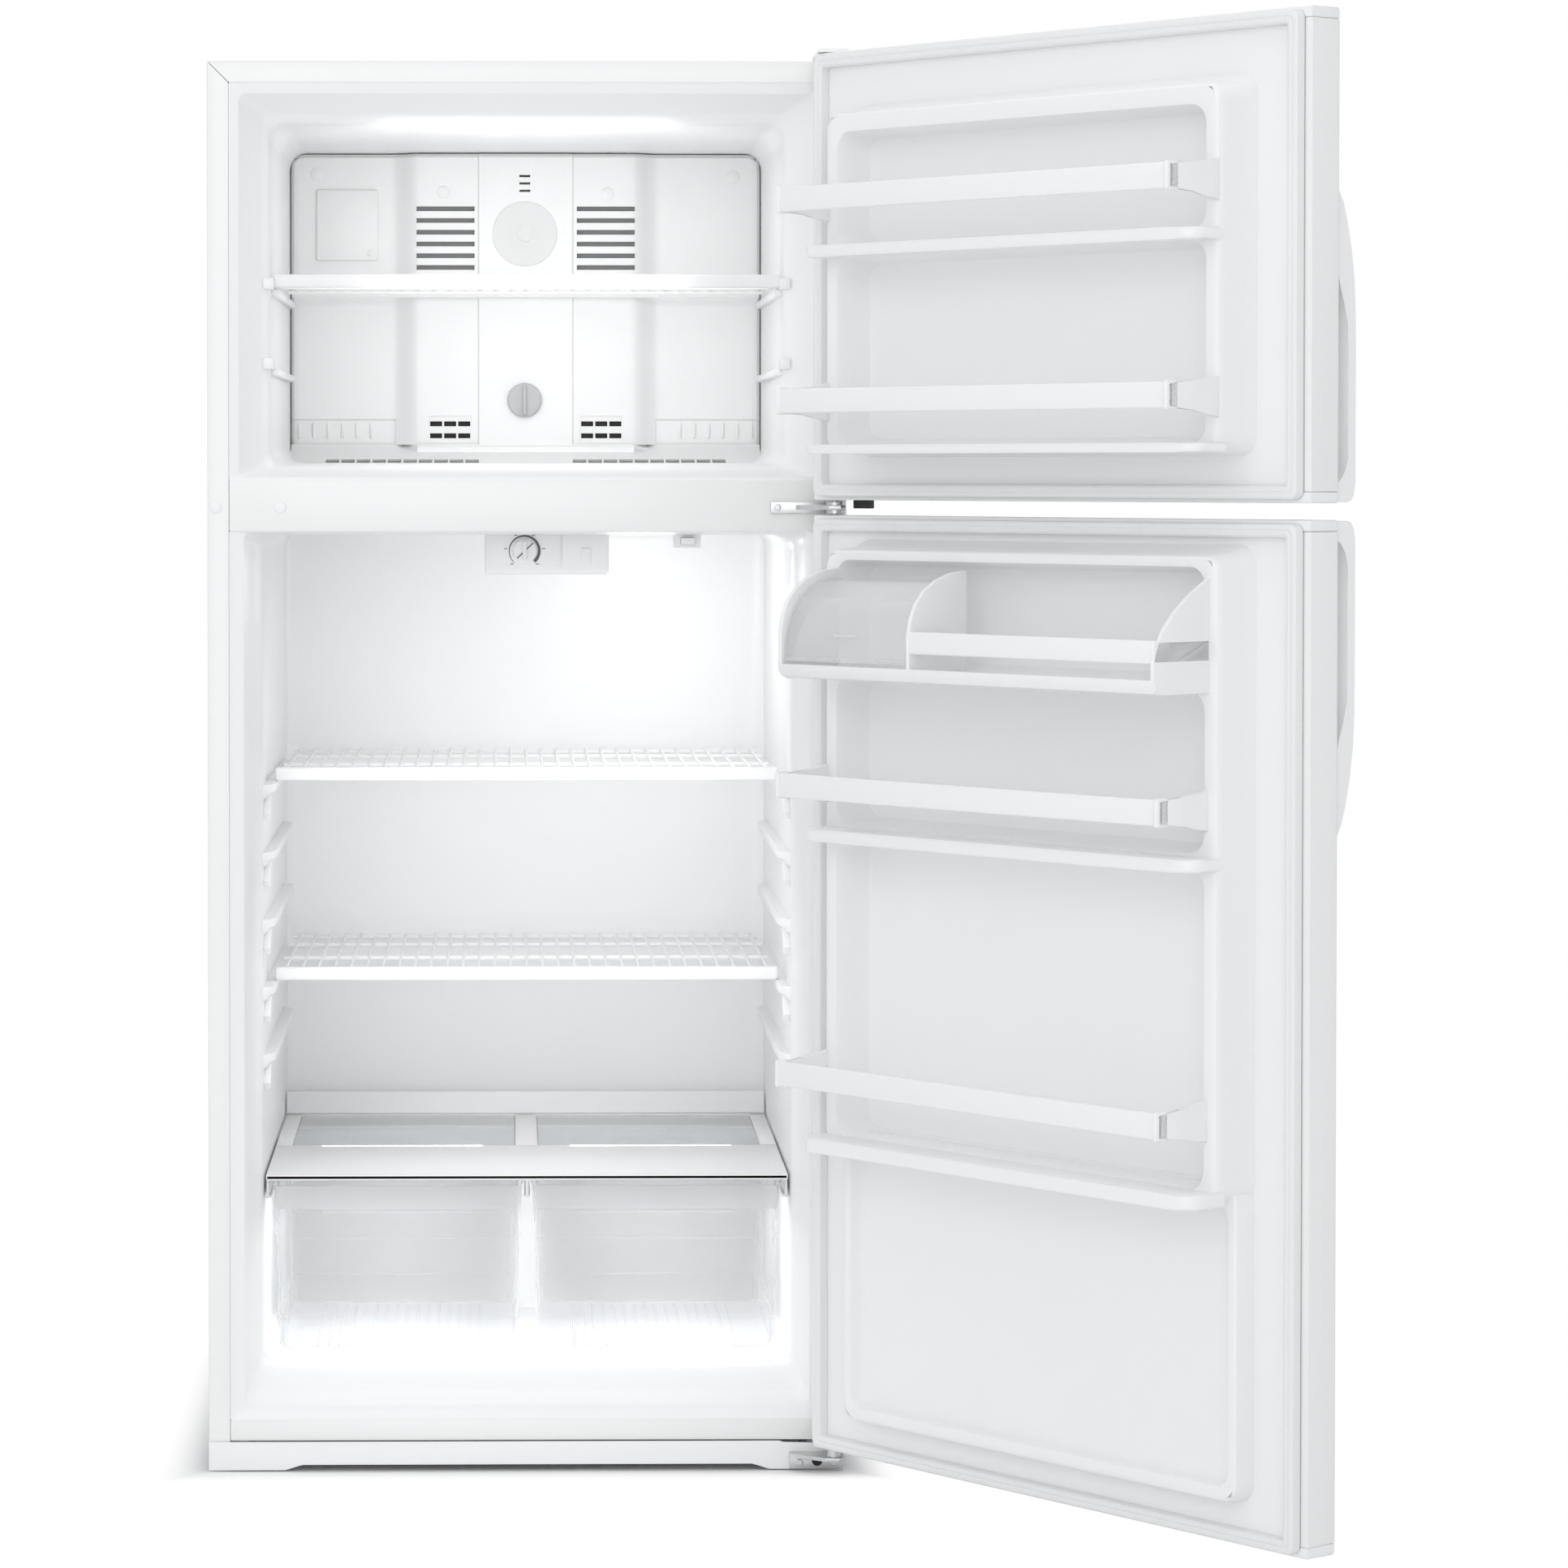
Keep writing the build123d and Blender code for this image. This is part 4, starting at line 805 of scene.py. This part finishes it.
# --------------------------------------------------------------------------------------------------
# Door liners: vacuum-formed in the same plastic as the tubs. A raised block fills the doorway, with a
# recess pressed into it for each shelf, and a ledge juts out under each recess to hold up what stands
# there.
BLOCK_FACE = 43.0
CELL_HALF, RECESS_HALF = 290.0, 280.0
SHARP = 0.01
RECESS_STEPS = ((-4, BLOCK_FACE, 3), (-1.2, 42.4, 1.2), (0, 40, 0), (2, 20, -1), (4, 4, -2), (7, -3, -2),
                (12, -6.4, -2), (20, -8, -4))


def recess(half, z0, z1, r, cell, lip=BLOCK_FACE, steps=RECESS_STEPS):
    """A recess, with the flat of the block around it as far as the edges of its cell."""
    cell_half, cell_low, cell_high = cell
    loops = [upright_loop(cell_half, cell_low, cell_high, SHARP, lip)]
    for inset, y, grow in steps:
        loops.append(upright_loop(half - inset, z0 + inset, z1 - inset, r + grow, y))
    return lofted(loops, False, True)


LEDGE_HALF, LEDGE_ROOT, LEDGE_FRONT, LEDGE_CORNER = 300.0, 30.0, 86.0, 22.0


def ledge(z0, z1):
    """A ledge across the block, with rounded ends."""
    plan = [(-LEDGE_HALF, LEDGE_ROOT), (LEDGE_HALF, LEDGE_ROOT)]
    for hand, first in ((1, 0), (-1, 90)):
        for turn in range(first, first + 91, 15):
            a = math.radians(turn)
            plan.append((hand * (LEDGE_HALF - LEDGE_CORNER) + LEDGE_CORNER * math.cos(a),
                         LEDGE_FRONT - LEDGE_CORNER + LEDGE_CORNER * math.sin(a)))
    return drawn(plan, "z", z0, z1, 3.0, 3)


def block_sides(z0, z1, skirt, face_low, face_high):
    """The outside of a raised block, up to the flat that its recesses are pressed into."""
    rows = ((304, z0 - 6, skirt, 22, -14.6), (302, z0 - 4, skirt - 2, 21, -6),
            (301, z0 - 3, min(skirt - 6, z1 + 4), 21, 4), (300, z0 - 2, z1 + 2, 20, 33),
            (299.4, z0 - 1.4, z1 + 1.2, 20, 38), (297.6, z0, z1 - 0.4, 19, 41.6),
            (295, z0 + 2, z1 - 2.6, 17, BLOCK_FACE), (CELL_HALF, face_low, face_high, SHARP, BLOCK_FACE))
    return lofted([upright_loop(*row) for row in rows])


def back_plate(door, z0, z1):
    """The flat flange of a liner, under the gasket."""
    low, high = DOORS[door][0] + CAP + 1, DOORS[door][1] - CAP - 1
    return lofted([upright_loop(366, low, high, 6, -15.0), upright_loop(366, low, high, 6, -14.2),
                   upright_loop(300, z0, z1, 20, -14.2)])


def recesses(rows):
    """Recesses one above another, given as (bottom, top, corner radius, bottom and top of the cell)."""
    return [recess(RECESS_HALF, z0, z1, r, (CELL_HALF, cell_low, cell_high))
            for z0, z1, r, cell_low, cell_high in rows]


freezer_door_shapes = [back_plate("freezer", 1212, 1600), block_sides(1209, 1598, 1612, 1213, 1594)]
freezer_door_shapes += recesses(((1445, 1576, 20, 1438, 1594), (1217, 1432, 20, 1213, 1438)))
freezer_door_shapes += [ledge(1432, 1445), ledge(1207, 1217)]
hang("freezer_door_liner", freezer_door_shapes, "freezer_door", formed_plastic,
     ["freezer_door_liner", "freezer_door_foam"])
SHALLOW_FACE = 12.0
SHALLOW_STEPS = ((-3, SHALLOW_FACE, 3), (-1, 11.4, 1), (0, 9.4, 0), (2, 2, -1), (4, -2, -2), (8, -5, -2),
                 (13, -6, -3))
shallow_rows = ((304, 80, 424, 22, -14.6), (302.4, 82, 424, 21, -6), (301.4, 83, 424, 20, 6),
                (300, 84.6, 424, 19, 10.4), (297.6, 87, 424, 18, SHALLOW_FACE),
                (295, 91, 418, SHARP, SHALLOW_FACE))
fridge_door_shapes = [back_plate("fridge", 86, 1100), block_sides(408, 1096, 1108, 412, 1092),
                      lofted([upright_loop(*row) for row in shallow_rows]),
                      recess(288, 100, 401, 16, (295, 91, 418), SHALLOW_FACE, SHALLOW_STEPS)]
fridge_recesses = ((420, 762, 22, 412, 771), (780, 952, 22, 771, 957), (962, 1084, 20, 957, 1092))
fridge_door_shapes += recesses(fridge_recesses)
fridge_door_shapes += [ledge(762, 776), ledge(404, 420)]
hang("fridge_door_liner", fridge_door_shapes, "fridge_door", formed_plastic,
     ["fridge_door_liner", "fridge_door_foam"])

# --------------------------------------------------------------------------------------------------
# Gaskets: a soft white vinyl extrusion right round each door, welded at the corners and pressed into a
# groove of the liner. A shallow fold line runs along the middle of its face, which holds the magnet
# strip.
soft_vinyl = finish("soft_vinyl", (0.84, 0.84, 0.84), (0.81, 0.81, 0.81), 0.5, grain=1200.0, relief=0.06)
SEAL_MARGIN, SEAL_HALF = 4, 368
SEAL_PROFILE = ((SEAL_HALF, -14.0), (368.2, -8), (367.6, -3), (365.8, -1.4), (362.8, -1.0), (361.4, -2.0),
                (360.0, -2.0), (358.8, -1.0), (356, -1.3), (354, -3), (353.2, -7), (353.2, -14.0))
for door, (low_z, high_z) in DOORS.items():
    rings = []
    for half, y in SEAL_PROFILE:
        inset = SEAL_MARGIN + SEAL_HALF - half
        corner = max(9 - (SEAL_HALF - half) * 0.4, 3)
        rings.append(upright_loop(half, low_z + inset, high_z - inset, corner, y))
    body = door + "_door"
    hang(body + "_gasket", [lofted(rings)], body, soft_vinyl, [body + "_gasket"])

# --------------------------------------------------------------------------------------------------
# Door bars: a white moulded rail across each open recess. Its ends are clipped into arms that stand out
# of the block, and a lower, shorter rail closes the front of the dairy tray's open half.
def bar_shapes(z, left, right, front=121.0, high=28.0):
    """One rail with its two arms and the rounded sockets at its ends."""
    shapes = [slab(left, right, front - 8, front, z, z + high, 2.2, 3)]
    side = [(40, z - 10), (60, z - 6), (81, z), (front - 4, z), (front - 4, z + high), (81, z + high),
            (60, z + high + 4), (40, z + high + 8)]
    for end in (left, right):
        inner = end + 6 if end < 0 else end - 6
        x0, x1 = sorted((end, inner))
        shapes.append(drawn(side, "x", x0, x1, 1.6, 2))
        shapes.append(slab(x0, x1, front - 17, front + 3, z - 1.5, z + high + 1.5, 2.6, 3))
    return shapes


hang("freezer_door_bars", bar_shapes(1483, -299, 299) + bar_shapes(1253, -299, 299), "freezer_door",
     moulded_white, ["freezer_door_bars"])
small_bar = [slab(-287, 76, 124, 132, 984, 1009, 2.2, 3), slab(-289, -283, 43, 132, 984, 1009, 2.2, 3)]
fridge_bars = bar_shapes(813, -287, 299) + bar_shapes(482, -287, 299) + small_bar
hang("fridge_door_bars", fridge_bars, "fridge_door", moulded_white, ["fridge_door_bars"])

# --------------------------------------------------------------------------------------------------
# Dairy compartment: a white tray with tall rounded cheeks, hooked into the top recess of the fridge door,
# and a clear curved lid that swings up on two small pins.
cheek = [(40, 950), (118, 950), (128, 954), (132.5, 963), (132.5, 1003), (129, 1022), (121, 1039),
         (108, 1054), (90, 1065), (68, 1073), (40, 1076)]
tray_floor = [(40, 951), (118, 951), (127, 953), (132, 959), (133, 967), (129.5, 967.5), (127.5, 962.5),
              (122, 958), (40, 957)]
dairy_shapes = [drawn(cheek, "x", 279, 285, 2.0, 3), drawn(cheek, "x", 73.4, 78.6, 1.8, 3),
                drawn(tray_floor, "x", -287, 284, 0.8, 2)]
end_cheek = [(40, 951), (118, 951), (129, 956), (132.5, 966), (132.5, 986), (127, 1003), (116, 1019),
             (98, 1038), (72, 1058), (40, 1077)]
dairy_shapes.append(drawn(end_cheek, "x", -289, -284, 1.8, 3))
hang("dairy_tray", dairy_shapes, "fridge_door", moulded_white, ["dairy_tray"])
lid_clear = see_through("lid_clear", (0.9, 0.905, 0.91), (0.87, 0.88, 0.89), 0.1, 0.62)
LID_CURVE = [(37, 1062.4), (48, 1064), (60, 1063.4), (76, 1060), (92, 1052.6), (107, 1041), (118, 1026),
             (125.4, 1008.6), (128.2, 992), (128.6, 974)]
lid_inside = [(y - (2.6 if y > 100 else 1.6), z - (0.6 if y > 100 else 2.4)) for y, z in LID_CURVE[::-1]]
dairy_lid_shapes = [drawn(LID_CURVE + lid_inside, "x", 81.4, 275.2, 0.7, 2)]
lid_end = LID_CURVE + [(119, 974), (112, 1000), (96, 1024), (66, 1043), (38, 1053)]
for x in (81.6, 273.0):
    dairy_lid_shapes.append(drawn(lid_end, "x", x, x + 2.0, 0.5, 1))
dairy_lid_shapes.append(slab(81.6, 275.0, 127.4, 130.4, 971, 976, 1.0, 2))
dairy_lid_shapes.append(slab(160, 196, 127.6, 130.6, 1000, 1003, 0.8, 2))
hang("dairy_lid", dairy_lid_shapes, "dairy_lid", lid_clear, ["dairy_lid"])

# --------------------------------------------------------------------------------------------------
# Handles: bow-shaped white mouldings screwed to the free edge of each door, one rising from the gap and
# one hanging from it, each with a gap behind the bow for the fingers.
for door, far_z, near_z in (("freezer", 1487.0, 1154.0), ("fridge", 797.0, 1134.0)):
    rise = 1 if near_z > far_z else -1
    bow = [(-62.6, 0), (-66, 2), (-72, 14), (-79, 36), (-85.6, 64), (-90.4, 96), (-92.6, 132), (-93, 172)]
    bow = [(y, far_z + rise * along) for y, along in bow]
    bow += [(-93, near_z - rise * 20), (-91.5, near_z - rise * 8), (-87, near_z - rise * 1.5), (-82, near_z),
            (-62.6, near_z), (-62.6, near_z - rise * 22), (-72, near_z - rise * 24),
            (-79, near_z - rise * 34), (-81, near_z - rise * 50)]
    behind_bow = ((-81, 170), (-80, 146), (-76, 122), (-70, 106), (-62.6, 95))
    bow += [(y, far_z + rise * along) for y, along in behind_bow]
    body = door + "_door"
    hang(body + "_handle", [drawn(bow, "x", -373, -343, 3.6, 4)], body, moulded_white,
         [body + "_handle"])

# --------------------------------------------------------------------------------------------------
# Hinges: zinc-plated pressings with hex-headed screws. The middle one carries both doors, the bottom one
# stands on the lower cross rail, and the top one is bolted to the roof under a small white cover.
zinc_plate = finish("zinc_plate", (0.66, 0.66, 0.66), (0.55, 0.55, 0.56), 0.34, grain=600.0, relief=0.1,
                    metal=1.0, edge=(0.82, 0.82, 0.82))
GAP_MIDDLE = (DOORS["fridge"][1] + DOORS["freezer"][0]) / 2
PIN_R = 3.9


def pin_shape(z0, z1):
    """A hinge pin with rounded ends."""
    tip = PIN_R - 0.9
    return spun([(z0, tip), (z0 + 1, PIN_R), (z1 - 1, PIN_R), (z1, tip)], (PIN_X, PIN_Y, 0), "z", 28)


arm = [(318, -4), (372, -4), (374, -38), (368, -45), (354, -45), (346, -36)]
collar = [(1136.4, 9.2), (1137.2, 10), (1150.4, 10), (1151.2, 9.2)]
centre_shapes = [slab(288, 372, -3.9, -0.2, 1136.7, 1150.8, 0.8), drawn(arm, "z", 1141.2, 1146.8, 0.8, 2),
                 pin_shape(1131, 1164), spun(collar, (PIN_X, PIN_Y, 0), "z", 36)]
make_piece("centre_hinge", centre_shapes, "cabinet", zinc_plate, ["centre_hinge"])
tab = [(311, -4.5), (376, -4.5), (376, -38), (368, -45), (352, -45), (330, -30), (311, -20)]
foot_shapes = [slab(311.2, 375.8, -8, -4.6, 2.6, 21, 0.9), drawn(tab, "z", 18.4, 22.8, 0.8, 2),
               spun([(23, 8), (32.4, 8), (33, 7.4)], (PIN_X, PIN_Y, 0), "z", 32), pin_shape(30, 46)]
make_piece("bottom_hinge", foot_shapes, "cabinet", zinc_plate, ["bottom_hinge"])
# Painted shade: the black disc on the bottom hinge's face stands for the shade inside its hole.
make_piece("bottom_hinge_hole", [spun([(-8.15, 6.4), (-7.9, 6.4)], (344, 0, 12.5), "y", 28)], "cabinet",
           painted_shade_black)
reach = [(346, 10), (374, 10), (374, -36), (368, -42), (352, -42), (346, -32)]
top_shapes = [slab(346.2, 373.8, 4, 60, 1670.7, 1679.8, 0.7), drawn(reach, "z", 1678.1, 1679.9, 0.5, 1),
              pin_shape(1664, 1680)]
make_piece("top_hinge", top_shapes, "cabinet", zinc_plate, ["top_hinge"])
screw_shapes = []
for x, y, z, r in ((323, -8, 10.5, 5.2), (364, -8, 10.5, 5.2), (296, -4, GAP_MIDDLE, 4.8)):
    hex_head = [(0.1, r), (-0.8, r), (-1.0, r - 0.6), (-1.0, r - 1.0), (-2.4, r - 1.0), (-2.9, r - 1.8),
                (-2.9, 0.1)]
    screw_shapes.append(spun(hex_head, (x, y, z), "y", 6))
for x, y in ((353, 20), (367, 20), (360, 48)):
    screw_shapes.append(spun([(1679.8, 3.9), (1680.7, 3.6), (1681, 3.0)], (x, y, 0), "z", 6))
make_piece("hinge_screws", screw_shapes, "cabinet", zinc_plate, ["hinge_screws"])
cover_block = slab(341.2, 377.8, -45.8, 63.8, 1670.8, 1682.3, 3.2, 4)
lifted = [(x, y, max(z, 1677.9) if y < 1 else z) for x, y, z in cover_block[0]]
make_piece("top_hinge_cover", [(lifted, cover_block[1])], "cabinet", moulded_white,
           ["top_hinge_cover"])
plug = [(0.2, 7.4), (-0.5, 7.4), (-1.1, 6.6), (-1.4, 5.0), (-1.4, 0.1)]
plug_shapes = [spun(plug, (x, 0, GAP_MIDDLE), "y", 32) for x in (-368, -292)]
make_piece("hole_plugs", plug_shapes, "cabinet", moulded_white, ["hole_plugs"])
black_moulding = finish("black_moulding", (0.03, 0.03, 0.03), (0.045, 0.045, 0.045), 0.5, grain=1500.0,
                        relief=0.1)
hang("freezer_door_stop", [slab(319, 345, -56, -46, 1143, 1153, 1.2)], "freezer_door", black_moulding)

# --------------------------------------------------------------------------------------------------
# Toe grille: one white moulding, clipped along the cabinet's foot by lugs behind it. Its two ends come
# down nearly to the floor, and its middle is cut higher for the air.
grille = [(-377.8, 1.7), (-286, 1.7), (-267, 9), (267, 9), (286, 1.7), (377.8, 1.7), (377.8, 32.8),
          (304, 32.8), (300, 35.3), (-377.8, 35.3)]
make_piece("toe_grille", [drawn(grille, "y", -4, -1, 0.8, 2)], "cabinet", moulded_white,
           ["toe_grille"])

# --------------------------------------------------------------------------------------------------
# Feet: two levelling screws of zinc-plated steel with wide round heads at the front, threaded up into the
# base, and two plain black wheels on axles at the back.
zinc_screw = finish("zinc_screw", (0.6, 0.61, 0.62), (0.47, 0.48, 0.5), 0.38, grain=500.0, relief=0.15,
                    metal=1.0)
for side, x in (("left", -330.0), ("right", 330.0)):
    profile = [(0, 15.6), (0.8, 16.8), (7.6, 16.8), (8.8, 15.8), (9, 5)]
    turn = 9.0
    while turn < 54:
        profile += [(turn + 0.5, 5.0), (turn + 1.0, 4.3)]
        turn += 1.5
    profile += [(55, 4.6), (56, 3.6)]
    make_piece("levelling_leg_" + side, [spun(profile, (x, 44, 0), "z", 32)], side + "_leg", zinc_screw,
               ["levelling_leg_" + side])
    wheel = spun([(-9, 7), (-9, 18), (-8.4, 20.6), (-7, 21.8), (7, 21.8), (8.4, 20.6), (9, 18), (9, 7)],
                 (x, 605, 22), "x", 48)
    make_piece("rear_roller_" + side, [wheel], side + "_roller", black_moulding,
               ["rear_roller_" + side])

# --------------------------------------------------------------------------------------------------
# Rear cover of the machine compartment: dark pressed board with upright slots for the air, held by six
# screws along its upper and lower edges.
board = finish("pressed_board", (0.16, 0.13, 0.10), (0.11, 0.09, 0.07), 0.8, grain=800.0, relief=0.3)
SLOT_PITCH, SLOT_HALF, SLOT_LOW, SLOT_HIGH = 24, 5, 70, 150
slots = [(x - SLOT_HALF, x + SLOT_HALF, SLOT_LOW, SLOT_HIGH) for x in range(-276, 277, SLOT_PITCH)]
board_across = sorted({-370.0, 370.0} | {edge for cut in slots for edge in cut[:2]})
back_sheet = pierced_sheet(board_across, [30, SLOT_LOW, SLOT_HIGH, 234], lambda x, z: (x, 675.8, z), slots,
                           (0, -1.4, 0))
cover_screws = [spun([(675.5, 5), (676, 4.4)], (x, 0, z), "y", 16) for x in (-355, 0, 355)
                for z in (42, 222)]
make_piece("machine_cover", [back_sheet], "cabinet", board, ["machine_cover"])
make_piece("machine_cover_screws", cover_screws, "cabinet", zinc_screw)

# --------------------------------------------------------------------------------------------------
# Everything else keeps the shape of its solid and takes the finish of its kind: the light switch, the
# coil, fans, motors, pipes and pans behind the covers, and the mains gland.
galvanised = finish("galvanised", (0.55, 0.57, 0.58), (0.42, 0.44, 0.46), 0.42, grain=120.0, relief=0.1,
                    metal=1.0)
bright_aluminium = finish("bright_aluminium", (0.8, 0.8, 0.81), (0.7, 0.7, 0.71), 0.35, metal=1.0)
black_enamel = finish("black_enamel", (0.02, 0.02, 0.02), (0.035, 0.035, 0.035), 0.3, grain=500.0,
                      relief=0.1)
copper_tube = finish("copper_tube", (0.72, 0.38, 0.24), (0.5, 0.27, 0.18), 0.32, grain=300.0, relief=0.05,
                     metal=1.0)
foam_fill = finish("foam_fill", (0.8, 0.72, 0.5), (0.72, 0.62, 0.4), 0.9, grain=500.0, relief=0.4)
by_slot = {
    "white_paint": white_enamel, "foam": foam_fill, "liner_plastic": formed_plastic,
    "white_trim": moulded_white, "coated_wire": wire_coat, "hinge_steel": zinc_plate, "clear_plastic": clear_moulding,
    "shelf_glass": pane_glass, "knob_grey": grey_knob, "seal": soft_vinyl, "black_plastic": black_moulding,
    "galvanised": galvanised, "aluminium": bright_aluminium, "black_paint": black_enamel,
    "copper": copper_tube, "fibreboard": board}
for part in frame["record"]["subparts"]:
    mesh = frame["nodes"][part["node"]].data
    mesh.materials.clear()
    mesh.materials.append(by_slot[part["material_slot"]])
